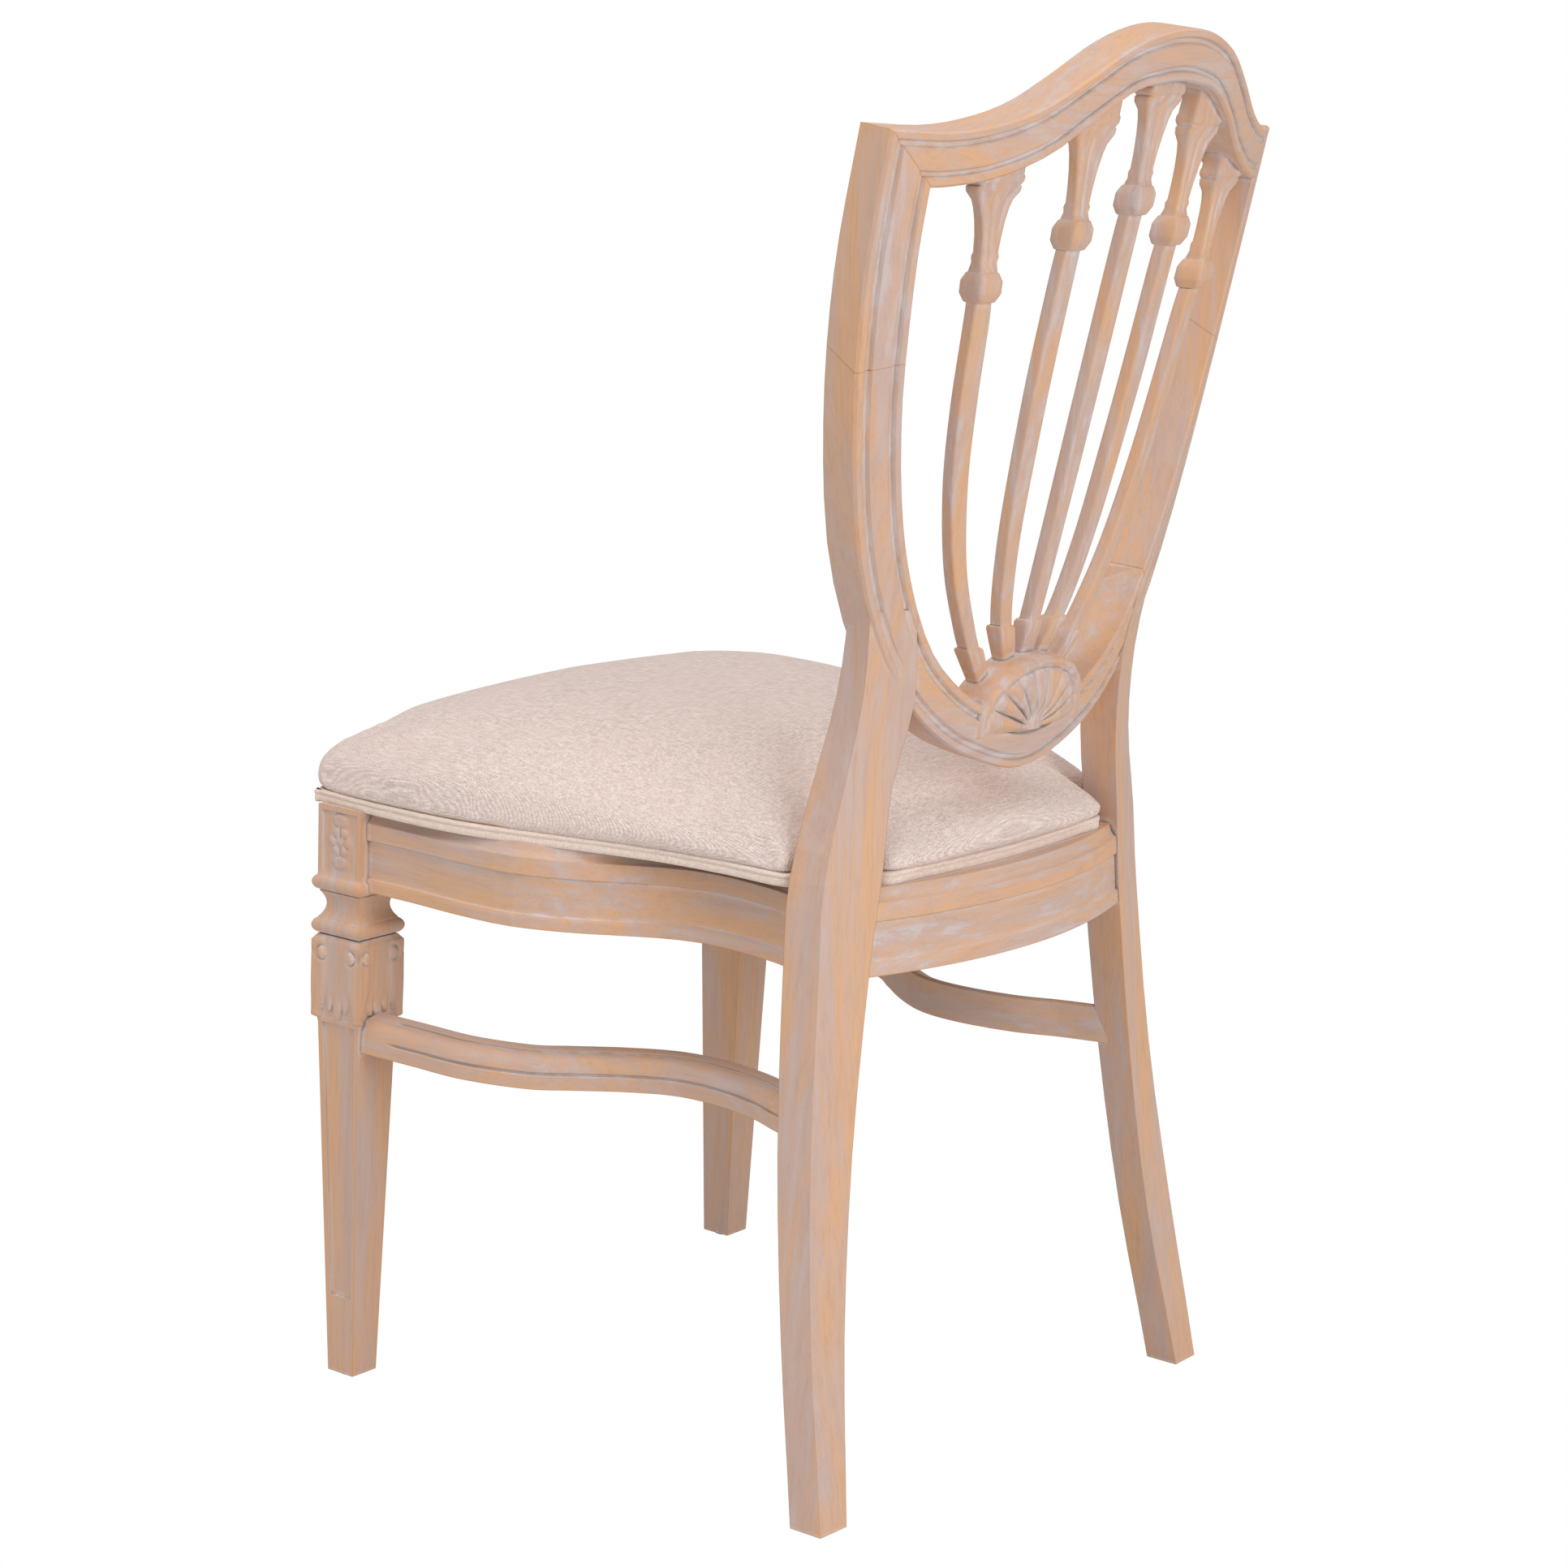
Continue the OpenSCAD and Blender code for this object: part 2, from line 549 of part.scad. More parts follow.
// The half shell that stands on the shield's base
fan_steps = 10;
fan_u = 1.5;
fan_end = side_place(fan_u, 1);
fan_start = side_place(0, 1);
function rim_z(x) = fan_start[1] + fan_h
    - (fan_start[1] + fan_h - fan_end[1]) * (1 - sqrt(max(0, 1 - pow(x / fan_r, 2))));
module fan_shape() loft([for (k = [-fan_steps : fan_steps])
    let (x = fan_r * 0.985 * sin(90 * k / fan_steps), low = tip_z + band_w * 0.8, top = rim_z(x))
    [back_place([x, low], groove_d), back_place([x, mix(low, top, 0.6)], 0),
     back_place([x, top], groove_d), back_place([x, top], fan_t), back_place([x, low], fan_t)]]);
module fan_shell() color(WOOD) difference() {
    fan_shape();
    shield_base_shape();
    all_rib_tenons();
    span([-shield_w, heel_y - run, 0], [shield_w, heel_y + run, tip_z + band_w * 0.9]);
}
module shield_base() color(WOOD) difference() {
    shield_base_shape();
    base_dowels();
    mirrored() base_dowels();
    all_rib_tenons();
}
module crest_rail() color(WOOD) difference() {
    crest_shape();
    ear_dowels();
    mirrored() ear_dowels();
    all_rib_tenons();
}

// Section of a moulded rail: how far in from its face and how far down from its top
cove_shares = [[1, 0], [0.86, 0.34], [0.7, 0.6], [0.4, 0.84], [0, 1]];
foot_moulding_shares = [[1, 0], [0.3, 0.1], [0, 0.3], [0, 1]];
function rail_section(slope) = [for (s = concat(
        [for (c = cove_shares) [c[0] * cove_in, c[1] * cove_h]],
        [[0, top_moulding_h], [rail_sink, top_moulding_h]],
        [for (f = foot_moulding_shares) [f[0] * rail_sink, rail_h - foot_moulding_h * (1 - f[1])]],
        [[rail_t, rail_h], [rail_t, 0]])) [s[0] + slope * (1 - s[1] / rail_h), s[1]]];

// Side rails: the outer face in plan, as shares of the way back and of the way out
rail_front = [front_x + block_w / 2 - rail_set, front_y + block_w / 2];
rail_inset = 14;
rail_rear = [at_rail[3][0] - rail_inset, (at_rail[2][1] + at_rail[3][1]) / 2];
rail_path_shares = [[-0.05, 0.98], [-0.015, 0.98], [0.12, 0.956], [0.252, 0.98], [0.384, 0.912],
    [0.501, 0.6], [0.589, 0.23], [0.677, -0.09], [0.765, -0.21], [0.883, -0.16], [0.97, -0.03],
    [1.035, 0.12], [1.1, 0.27]];
stretch_mid = stretch_z + stretch_h / 2;
stretch_set = 2;
stretch_inset = 20;
stretch_front = [front_x + shaft_half(stretch_mid) - stretch_set, front_y + shaft_half(stretch_mid)];
stretch_rear = [at_stretch[3][0] - stretch_inset, (at_stretch[2][1] + at_stretch[3][1]) / 2];
stretch_path_shares = [[-0.05, 0.97], [-0.015, 0.97], [0.134, 0.96], [0.27, 0.94], [0.402, 0.66],
    [0.476, 0.25], [0.553, -0.19], [0.635, -0.52], [0.725, -0.585], [0.831, -0.46], [0.92, -0.2],
    [1.02, 0.02], [1.1, 0.2]];
function path_place(shares, front, rear, u) = let (s = spline(shares, u))
    [mix(rear[0], front[0], s[1]), mix(front[1], rear[1], s[0])];
function path_ring(shares, front, rear, u, section, top, falls = 0) = let (
    p = path_place(shares, front, rear, u),
    v = unit(path_place(shares, front, rear, u + 0.02) - path_place(shares, front, rear, u - 0.02)))
    [for (s = section) [p[0] - v[1] * s[0], p[1] + v[0] * s[0], top - s[1] - falls * fall(p[1])]];
path_steps = 30;
path_span = len(rail_path_shares) - 3;
module side_rail_shape() loft([for (k = [path_steps : -1 : 0])
    path_ring(rail_path_shares, rail_front, rail_rear, path_span * k / path_steps, rail_section(0), rail_top, 1)]);
stretch_top_shares = [[0, 1], [0.1, 0.8], [0.35, 0.4], [0.65, 0.1], [0.9, 0], [1, 0.08]];
function stretch_section() = concat([[stretch_t, stretch_h], [0, stretch_h]],
    [for (s = stretch_top_shares) [stretch_t * s[0], (stretch_h - stretch_face_h) * s[1]]]);
module stretcher_shape() loft([for (k = [path_steps : -1 : 0])
    path_ring(stretch_path_shares, stretch_front, stretch_rear, path_span * k / path_steps,
        stretch_section(), stretch_z + stretch_h)]);
module side_rail_tenons(gap) {
    size = [tenon_t + 2 * gap, 2 * tenon_l + 2 * gap, tenon_h + 2 * gap];
    middle_block([rail_front[0] - rail_t / 2, rail_front[1], rail_mid], size);
    middle_block([rail_rear[0] - rail_t / 2, rail_rear[1], rail_mid - fall(rail_rear[1])], size);
}
module stretcher_tenons(gap) {
    size = [tenon_t + 2 * gap, 2 * tenon_l + 2 * gap, stretch_tenon_h + 2 * gap];
    middle_block([stretch_front[0] - stretch_t / 2, stretch_front[1], stretch_mid], size);
    middle_block([stretch_rear[0] - stretch_t / 2, stretch_rear[1], stretch_mid], size);
}
module side_rail() color(WOOD) difference() {
    union() {
        difference() {
            side_rail_shape();
            front_leg_shape();
            leg_shape();
        }
        side_rail_tenons(0);
    }
    block_screw_pins();
}
module side_rail_left() side_rail();
module side_rail_right() mirrored() side_rail();
module stretcher() color(WOOD) {
    difference() {
        stretcher_shape();
        front_leg_shape();
        leg_shape();
    }
    stretcher_tenons(0);
}
module stretcher_left() stretcher();
module stretcher_right() mirrored() stretcher();

// Front and back rails bow outward between the legs
cross_steps = 14;
front_rail_half = front_x - block_w / 2;
front_rail_y = front_y - block_w / 2 + rail_set;
back_rail_half = at_rail[1][0];
back_top = rail_top - seat_drop;
function front_rail_face(x) = front_rail_y - front_bow * (1 - pow(x / front_rail_half, 2));
function back_rail_face(x) = back_rail_y - back_bow * pow(x / back_rail_half, 2);
module front_rail_shape() loft([for (k = [-cross_steps : cross_steps])
    let (x = (front_rail_half + lap) * k / cross_steps)
    [for (s = rail_section(0)) [x, front_rail_face(x) + s[0], rail_top - s[1]]]]);
module back_rail_shape() loft([for (k = [cross_steps : -1 : -cross_steps])
    let (x = (back_rail_half + 2 * lap) * k / cross_steps)
    [for (s = rail_section(back_foot)) [x, back_rail_face(x) - s[0], back_top - s[1]]]]);
module front_rail_tenon(gap) middle_block(
    [front_rail_half, front_rail_y + rail_t / 2, rail_mid],
    [2 * tenon_l + 2 * gap, tenon_t + 2 * gap, tenon_h + 2 * gap]);
module back_rail_tenon(gap) middle_block(
    [back_rail_half, back_rail_face(back_rail_half) - (rail_t + back_foot) / 2, rail_mid - seat_drop],
    [2 * tenon_l + 2 * gap, tenon_t + 2 * gap, tenon_h + 2 * gap]);
module front_rail() color(WOOD) difference() {
    union() {
        difference() {
            front_rail_shape();
            front_leg_shape();
            mirrored() front_leg_shape();
        }
        front_rail_tenon(0);
        mirrored() front_rail_tenon(0);
    }
    block_screw_pins();
    mirrored() block_screw_pins();
}
module back_rail() color(WOOD) difference() {
    union() {
        difference() {
            back_rail_shape();
            leg_shape();
            mirrored() leg_shape();
        }
        back_rail_tenon(0);
        mirrored() back_rail_tenon(0);
    }
    block_screw_pins();
    mirrored() block_screw_pins();
    plug();
    mirrored() plug();
}
// A plug stands in the back rail's top edge beside each leg
plug_inset = 9;
module plug() translate([back_rail_half - plug_inset, back_rail_face(back_rail_half) - rail_t / 2,
    back_top - plug_d]) cylinder(d = plug_d, h = plug_d);
module rail_plugs() color(WOOD) {
    plug();
    mirrored() plug();
}

// Corner blocks: a front and a back wedge, each trimmed to the rails and the leg that it braces
side_inner_front = rail_front[0] - rail_t;
front_inner = front_rail_y + rail_t;
side_inner_back = rail_rear[0] - rail_t;
back_inner = back_rail_face(back_rail_half) - rail_t - back_foot;
back_reach_x = corner_reach * 1.66;
back_reach_y = corner_reach * 1.88;
front_corner = [side_inner_front + lap, front_inner - lap];
back_corner = [side_inner_back + lap, back_inner + 3 * lap];
module corner_prism(points, top) translate([0, 0, top - corner_drop - corner_h])
    linear_extrude(corner_h) polygon(points);
module front_corner_shape() corner_prism([front_corner,
    front_corner + [0, corner_reach + 3.6 * lap], front_corner - [corner_reach + 3.6 * lap, 0]], rail_top);
module back_corner_shape() corner_prism([back_corner,
    back_corner - [back_reach_x, 0], back_corner - [0, back_reach_y]], back_top);
// Side screws, as [head place, direction], and the seat screws' places in plan
screw_z = rail_top - corner_drop - corner_h / 2;
front_screw_y = rail_front[1] + corner_reach * 0.42;
front_screw_x = front_rail_half - corner_reach * 0.42;
back_screw_y = back_corner[1] - back_reach_y * 0.52;
back_screw_x = back_corner[0] - back_reach_x * 0.64;
side_inner_at_back = path_place(rail_path_shares, rail_front, rail_rear, 8.3)[0] - rail_t;
block_screw_places = [
    [[side_inner_front - screw_seat, front_screw_y, screw_z], [1, 0, 0]],
    [[front_screw_x, front_rail_face(front_screw_x) + rail_t + screw_seat, screw_z], [0, -1, 0]],
    [[side_inner_at_back - screw_seat, back_screw_y, screw_z - seat_drop], [1, 0, 0]],
    [[back_screw_x, back_rail_face(back_screw_x) - rail_t - back_foot / 2 - screw_seat,
        screw_z - seat_drop], [0, 1, 0]]
];
module block_screw_pins() for (s = block_screw_places) {
    pin(s[0], s[1], screw_d, screw_seat + screw_bite);
    pin(s[0], s[1], head_d, head_h);
}
module block_screw_bores() for (s = block_screw_places)
    pin(s[0] - corner_reach * s[1], s[1], head_d, corner_reach + head_h);
seat_screw_places = [
    [side_inner_front - corner_reach * 0.37, front_inner + corner_reach * 0.46, rail_top],
    [notch[0] - head_d, notch[1] + head_d / 4, back_top]
];
module seat_screw_pins() for (p = seat_screw_places)
    translate([p[0], p[1], p[2] - corner_drop - corner_h]) {
        translate([0, 0, -head_h]) cylinder(d = head_d, h = head_h);
        cylinder(d = screw_d, h = corner_h + corner_drop + dust_t + screw_bite);
    }
module corner_block(front) color(PLY) difference() {
    if (front) front_corner_shape();
    if (!front) back_corner_shape();
    front_leg_shape();
    leg_shape();
    side_rail_shape();
    front_rail_shape();
    back_rail_shape();
    block_screw_pins();
    block_screw_bores();
    seat_screw_pins();
}
module corner_block_front_left() corner_block(true);
module corner_block_front_right() mirrored() corner_block(true);
module corner_block_back_left() corner_block(false);
module corner_block_back_right() mirrored() corner_block(false);
module block_screws() color(STEEL) {
    block_screw_pins();
    mirrored() block_screw_pins();
}
module seat_screws() color(STEEL) {
    seat_screw_pins();
    mirrored() seat_screw_pins();
}

// Nail-on glides under the four feet
module glide_nail(x, y) translate([x, y, glide_h]) cylinder(d = nail_d, h = nail_l);
module glide(x, y) {
    translate([x, y, 0]) cylinder(d = glide_d, h = glide_h);
    glide_nail(x, y);
}
module glide_pair() {
    glide(front_x, front_y);
    glide(leg_foot[0], leg_foot[1]);
}
module glides() color(STEEL) {
    glide_pair();
    mirrored() glide_pair();
}

// The pad's plan, from its front middle round to its rear middle: x and y as shares of its half
// width and of its length, with the share of the side's swell
pad_half = front_x + block_w / 2 - pad_set;
pad_front_y = front_y - block_w / 2 - pad_over;
pad_rear_y = back_rail_y - pad_ledge;
pad_side_shares = [[0.93, -0.014], [0.962, -0.005], [0.981, 0.006], [0.988, 0.036], [1, 0.122],
    [0.996, 0.285], [0.944, 0.4175], [0.85, 0.577], [0.8, 0.7], [0.777, 0.88], [0.77, 1]];
front_edge_share = 0.93;
pad_front_steps = 5;
pad_side_steps = 13;
pad_side_span = len(pad_side_shares) - 3;
pad_rear_steps = 4;
rear_corner_share = 0.975;
notch_swell_share = 0.6;
// The side stands at its full height up to this share of the length, and slumps from there to the
// rear corners and less to the rear middle; it drops at the front corners and rises between them
slump_from_share = 0.5;
corner_slump_share = 0.6;
middle_slump_share = 0.1;
front_slump_share = 0.2;
front_slump_reach = 26;
front_lift_share = 0.15;
front_lift_reach = 60;
function pad_y(share) = mix(pad_front_y, pad_rear_y, share);
pad_plan_half = concat(
    [for (k = [0 : pad_front_steps - 1]) let (s = front_edge_share * k / pad_front_steps)
        [pad_half * s, pad_front_y - pad_bow * (1 - s * s), 1]],
    [for (k = [0 : pad_side_steps]) let (p = spline(pad_side_shares, pad_side_span * k / pad_side_steps))
        [pad_half * p[0], min(pad_y(p[1]), notch[1]), k > pad_side_steps - 2 ? notch_swell_share : 1]],
    [[mix(notch[0], pad_half * pad_side_shares[9][0], 0.5), notch[1], notch_swell_share],
     [notch[0], notch[1], notch_swell_share]],
    [for (k = [0 : pad_rear_steps - 1]) let (s = 1 - k / pad_rear_steps)
        [notch[0] * s, mix(pad_rear_y, pad_y(rear_corner_share), s * s), k < 1 ? notch_swell_share : 1]]
);
pad_count = len(pad_plan_half);
pad_plan = concat(pad_plan_half, [[0, pad_rear_y, 1]],
    [for (k = [pad_count - 1 : -1 : 1]) [-pad_plan_half[k][0], pad_plan_half[k][1], pad_plan_half[k][2]]]);
pad_middle = [0, pad_y(0.47)];
function ease(t) = let (c = max(0, min(1, t))) c * c * (3 - 2 * c);
function slump(p) = let (rear_share = (p[1] - pad_front_y) / (pad_rear_y - pad_front_y))
    mix(middle_slump_share, corner_slump_share, ease(abs(p[0]) / notch[0]))
    * ease((rear_share - slump_from_share) / (1 - slump_from_share))
    + front_slump_share * exp(-(pow(abs(p[0]) - pad_half, 2) + pow(p[1] - pad_front_y, 2))
        / pow(front_slump_reach, 2))
    - front_lift_share * max(0, 1 - abs(p[0]) / pad_half)
    * ease((pad_front_y + front_lift_reach - p[1]) / front_lift_reach);
// The plan drawn in by some distance, and a ring of the cushion on it at some rise over the foot
function pad_inset(e, q = 1) = [for (p = pad_plan) let (v = [p[0], p[1]] - pad_middle)
    pad_middle + v * q - unit(v) * e * (e < 0 ? p[2] : 1)];
function pad_ring(e, q, foot, rise, crown = 0) = [for (p = pad_inset(e, q))
    let (edge = pad_middle + ([p[0], p[1]] - pad_middle) / q)
    [p[0], p[1], foot + rise * (1 - slump(edge) * q * q) + crown]];
// Rings of the cushion: the swell and the share of the side's height, then the plan's scale and the
// share of the side's height that the crown is added to
side_ring_shares = [[-0.35, 0], [0.5, 0.13], [1, 0.44], [0.85, 0.64], [0.4, 0.8]];
crown_ring_shares = [[0.967, 0.93], [0.88, 1], [0.74, 1], [0.58, 1], [0.4, 1], [0.2, 1], [0.03, 1]];
crown_power = 3.35;
module cushion(e, foot) loft(concat(
    [for (s = side_ring_shares) pad_ring(e - bulge * s[0], 1, foot, (side_h - e) * s[1])],
    [for (s = crown_ring_shares) pad_ring(e * s[0], s[0], foot, (side_h - e) * s[1],
        crown_h * (1 - pow(s[0], crown_power)))]), true);
module seat_cover() color(CLOTH) tilted() difference() {
    cushion(0, pad_z);
    translate([0, 0, -over / 10]) cushion(cloth_t, pad_z);
}
module seat_foam() color(FOAM) tilted() cushion(cloth_t + soft_gap, pad_z);
module board_plan(e) polygon(pad_inset(e));
module seat_board() color(PLY) difference() {
    tilted() translate([0, 0, board_z]) linear_extrude(board_t) board_plan(cloth_t);
    seat_screw_pins();
    mirrored() seat_screw_pins();
}
module board_wrap() color(BAND) tilted() translate([0, 0, board_z]) linear_extrude(board_t) difference() {
    board_plan(0);
    board_plan(cloth_t);
}
dust_inset = 4;
module dust_cover() color(BLACK) difference() {
    tilted() translate([0, 0, rail_top]) linear_extrude(dust_t) board_plan(dust_inset);
    seat_screw_pins();
    mirrored() seat_screw_pins();
}

front_leg_left();
front_leg_right();
back_leg_left();
back_leg_right();
stile_left();
stile_right();
crest_rail();
shield_base();
fan_shell();
rib_1();
rib_2();
rib_3();
rib_4();
rib_5();
front_rail();
back_rail();
side_rail_left();
side_rail_right();
stretcher_left();
stretcher_right();
corner_block_front_left();
corner_block_front_right();
corner_block_back_left();
corner_block_back_right();
block_screws();
seat_screws();
shield_dowels();
rail_plugs();
glides();
dust_cover();
seat_board();
board_wrap();
seat_foam();
seat_cover();
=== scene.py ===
import math
import bpy
from mathutils import Matrix, Vector


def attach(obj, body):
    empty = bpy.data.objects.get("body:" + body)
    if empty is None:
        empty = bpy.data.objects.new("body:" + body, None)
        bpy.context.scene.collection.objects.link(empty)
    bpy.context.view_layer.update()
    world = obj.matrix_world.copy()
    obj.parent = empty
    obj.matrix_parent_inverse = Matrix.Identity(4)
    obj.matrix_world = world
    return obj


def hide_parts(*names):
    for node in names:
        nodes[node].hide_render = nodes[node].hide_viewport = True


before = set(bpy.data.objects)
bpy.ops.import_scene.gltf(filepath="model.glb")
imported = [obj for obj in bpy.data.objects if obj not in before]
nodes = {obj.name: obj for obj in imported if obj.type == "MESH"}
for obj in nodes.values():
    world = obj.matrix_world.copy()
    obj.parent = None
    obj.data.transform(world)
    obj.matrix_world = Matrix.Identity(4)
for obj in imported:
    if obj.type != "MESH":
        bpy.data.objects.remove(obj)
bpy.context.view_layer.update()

# millimetres in a metre
MM = 1000.0


# ---- small helpers ----
def clip(value, low=0.0, high=1.0):
    return max(low, min(high, value))


def ease(value):
    t = clip(value)
    return t * t * (3 - 2 * t)


def mix(a, b, share):
    return a + (b - a) * share


def along(table, place):
    """Straight steps between the places of a table of (place, value)."""
    for (p0, v0), (p1, v1) in zip(table, table[1:]):
        if place <= p1:
            return mix(v0, v1, clip((place - p0) / (p1 - p0)))
    return table[-1][1]


def mesh_piece(name, points, faces, smooth=True):
    """A new piece from points in millimetres, smooth shaded unless it is said otherwise."""
    mesh = bpy.data.meshes.new(name)
    mesh.from_pydata([(x / MM, y / MM, z / MM) for x, y, z in points], [], faces)
    mesh.update()
    if smooth:
        mesh.polygons.foreach_set("use_smooth", [True] * len(mesh.polygons))
    piece = bpy.data.objects.new(name, mesh)
    bpy.context.scene.collection.objects.link(piece)
    return piece


def rings_solid(name, rings):
    """A closed solid through rings that all have the same number of points."""
    count = len(rings[0])
    points = [p for ring in rings for p in ring]
    faces = []
    for k in range(len(rings) - 1):
        for i in range(count):
            j = (i + 1) % count
            faces.append((k * count + i, k * count + j, (k + 1) * count + j, (k + 1) * count + i))
    faces.append(tuple(reversed(range(count))))
    faces.append(tuple(range(len(points) - count, len(points))))
    return mesh_piece(name, points, faces)


# ---- materials ----
def add(tree, kind, **inputs):
    item = tree.nodes.new(kind)
    for key, value in inputs.items():
        item.inputs[key.replace("_", " ")].default_value = value
    return item


def link(tree, source, target):
    tree.links.new(source, target)


def new_group(name, inputs, outputs):
    tree = bpy.data.node_groups.new(name, "ShaderNodeTree")
    for label, kind in inputs:
        tree.interface.new_socket(name=label, in_out="INPUT", socket_type=kind)
    for label, kind in outputs:
        tree.interface.new_socket(name=label, in_out="OUTPUT", socket_type=kind)
    return tree, tree.nodes.new("NodeGroupInput"), tree.nodes.new("NodeGroupOutput")


def ramp(tree, source, stops):
    """A colour ramp fed by source; stops are (place, grey or colour)."""
    item = tree.nodes.new("ShaderNodeValToRGB")
    for index, (place, value) in enumerate(stops):
        if index > 1:
            item.color_ramp.elements.new(place)
        item.color_ramp.elements[index].position = place
        colour = value if hasattr(value, "__len__") else (value, value, value)
        item.color_ramp.elements[index].color = (*colour, 1)
    link(tree, source, item.inputs["Fac"])
    return item.outputs["Color"]


# where a colour mix node keeps its share, its two colours and its result
MIX_SHARE, MIX_FIRST, MIX_SECOND, MIX_RESULT = 0, 6, 7, 2


def feed(tree, value, socket):
    """Gives a socket a value, which may be another socket, a plain colour or a number."""
    if isinstance(value, bpy.types.NodeSocket):
        link(tree, value, socket)
    elif hasattr(value, "__len__"):
        socket.default_value = (*value, 1)
    else:
        socket.default_value = value


def blend(tree, share, first, second):
    """Mixes two colours."""
    item = tree.nodes.new("ShaderNodeMix")
    item.data_type = "RGBA"
    feed(tree, share, item.inputs[MIX_SHARE])
    feed(tree, first, item.inputs[MIX_FIRST])
    feed(tree, second, item.inputs[MIX_SECOND])
    return item.outputs[MIX_RESULT]


def maths(tree, operation, *values):
    item = tree.nodes.new("ShaderNodeMath")
    item.operation = operation
    for value, socket in zip(values, item.inputs):
        feed(tree, value, socket)
    return item.outputs[0]


def times(tree, first, second):
    return maths(tree, "MULTIPLY", first, second)


# colours of the wood, of the lime in its grain and grooves, of the painted shade in its sharp hollows,
# and of its rubbed corners
TAN = (0.69, 0.40, 0.23)
PINK = (0.575, 0.405, 0.34)
LIME = (0.595, 0.52, 0.515)
GROOVE_LIME = (0.86, 0.80, 0.80)
PAINTED_GROOVE_SHADE = (0.20, 0.145, 0.12)
RUBBED = (0.70, 0.375, 0.175)
DARK_GRAIN = (0.45, 0.28, 0.19)
# how far a groove and a corner are felt, and how much corners are rounded in the shading, in metres
GROOVE_REACH, CORNER_REACH, ROUNDING = 0.005, 0.0035, 0.0011
SHADE_SAMPLES = 6


def limed_grain_group():
    """Beech with lime in its grain and grooves, painted shade as dark lines in sharp hollows, and
    rubbed corners.
    """
    wanted = [("Grain", "NodeSocketVector"), ("Rubbing", "NodeSocketFloat"),
              ("Liming", "NodeSocketFloat")]
    given = [("Color", "NodeSocketColor"), ("Roughness", "NodeSocketFloat"),
             ("Height", "NodeSocketFloat"), ("Normal", "NodeSocketVector")]
    tree, start, end = new_group("limed grain", wanted, given)
    streaks = add(tree, "ShaderNodeTexNoise", Scale=1.6, Detail=7.0, Roughness=0.68, Distortion=0.2)
    broad = add(tree, "ShaderNodeTexNoise", Scale=0.34, Detail=6.0, Roughness=0.7, Distortion=0.5)
    fine = add(tree, "ShaderNodeTexNoise", Scale=3.2, Detail=3.0, Roughness=0.7)
    for item in (streaks, broad, fine):
        link(tree, start.outputs["Grain"], item.inputs["Vector"])
    streak, figure, line = streaks.outputs["Fac"], broad.outputs["Fac"], fine.outputs["Fac"]

    wood = blend(tree, ramp(tree, figure, [(0.4, 0), (0.6, 1)]), PINK, TAN)
    lined = blend(tree, ramp(tree, line, [(0.46, 0), (0.72, 0.42)]), wood, DARK_GRAIN)
    patches = times(tree, ramp(tree, streak, [(0.48, 0), (0.6, 0.68)]),
                    ramp(tree, figure, [(0.4, 1), (0.6, 0.15)]))
    limed = blend(tree, times(tree, patches, start.outputs["Liming"]), lined, LIME)

    hollow = add(tree, "ShaderNodeAmbientOcclusion", Distance=GROOVE_REACH)
    hollow.samples = SHADE_SAMPLES
    groove = times(tree, ramp(tree, hollow.outputs["AO"], [(0.62, 1), (0.94, 0)]),
                   ramp(tree, streak, [(0.35, 0.25), (0.6, 1)]))
    filled = blend(tree, groove, limed, GROOVE_LIME)
    # painted shade: a dark colour in tight, sharp hollows and where parts meet
    sharp = ramp(tree, hollow.outputs["AO"], [(0.35, 0.85), (0.8, 0)])
    shaded = blend(tree, sharp, filled, PAINTED_GROOVE_SHADE)

    rim = add(tree, "ShaderNodeAmbientOcclusion", Distance=CORNER_REACH)
    rim.samples = SHADE_SAMPLES
    rim.inside = True
    rim.only_local = True
    corner = times(tree, ramp(tree, rim.outputs["AO"], [(0.45, 0.75), (0.8, 0)]),
                   ramp(tree, figure, [(0.35, 0.45), (0.6, 1)]))
    rubbed = blend(tree, times(tree, corner, start.outputs["Rubbing"]), shaded, RUBBED)
    rounding = add(tree, "ShaderNodeBevel", Radius=ROUNDING)
    rounding.samples = SHADE_SAMPLES

    link(tree, rubbed, end.inputs["Color"])
    link(tree, ramp(tree, streak, [(0.3, 0.46), (0.7, 0.62)]), end.inputs["Roughness"])
    link(tree, maths(tree, "ADD", streak, line), end.inputs["Height"])
    link(tree, rounding.outputs["Normal"], end.inputs["Normal"])
    return tree


def new_material(name):
    material = bpy.data.materials.new(name)
    material.use_nodes = True
    tree = material.node_tree
    return material, tree, tree.nodes["Principled BSDF"]


def limed_beech(name, group, stretch, shift, rubbing, liming):
    """Limed beech whose grain runs where stretch is small; shift moves the pattern along."""
    material, tree, shader = new_material(name)
    place = tree.nodes.new("ShaderNodeTexCoord")
    mapping = add(tree, "ShaderNodeMapping", Scale=stretch, Location=shift)
    grain = tree.nodes.new("ShaderNodeGroup")
    grain.node_tree = group
    grain.inputs["Rubbing"].default_value = rubbing
    grain.inputs["Liming"].default_value = liming
    bump = add(tree, "ShaderNodeBump", Strength=0.12, Distance=0.0004)
    link(tree, place.outputs["Object"], mapping.inputs["Vector"])
    link(tree, mapping.outputs["Vector"], grain.inputs["Grain"])
    link(tree, grain.outputs["Color"], shader.inputs["Base Color"])
    link(tree, grain.outputs["Roughness"], shader.inputs["Roughness"])
    link(tree, grain.outputs["Height"], bump.inputs["Height"])
    link(tree, grain.outputs["Normal"], bump.inputs["Normal"])
    link(tree, bump.outputs["Normal"], shader.inputs["Normal"])
    shader.inputs["Specular IOR Level"].default_value = 0.38
    return material
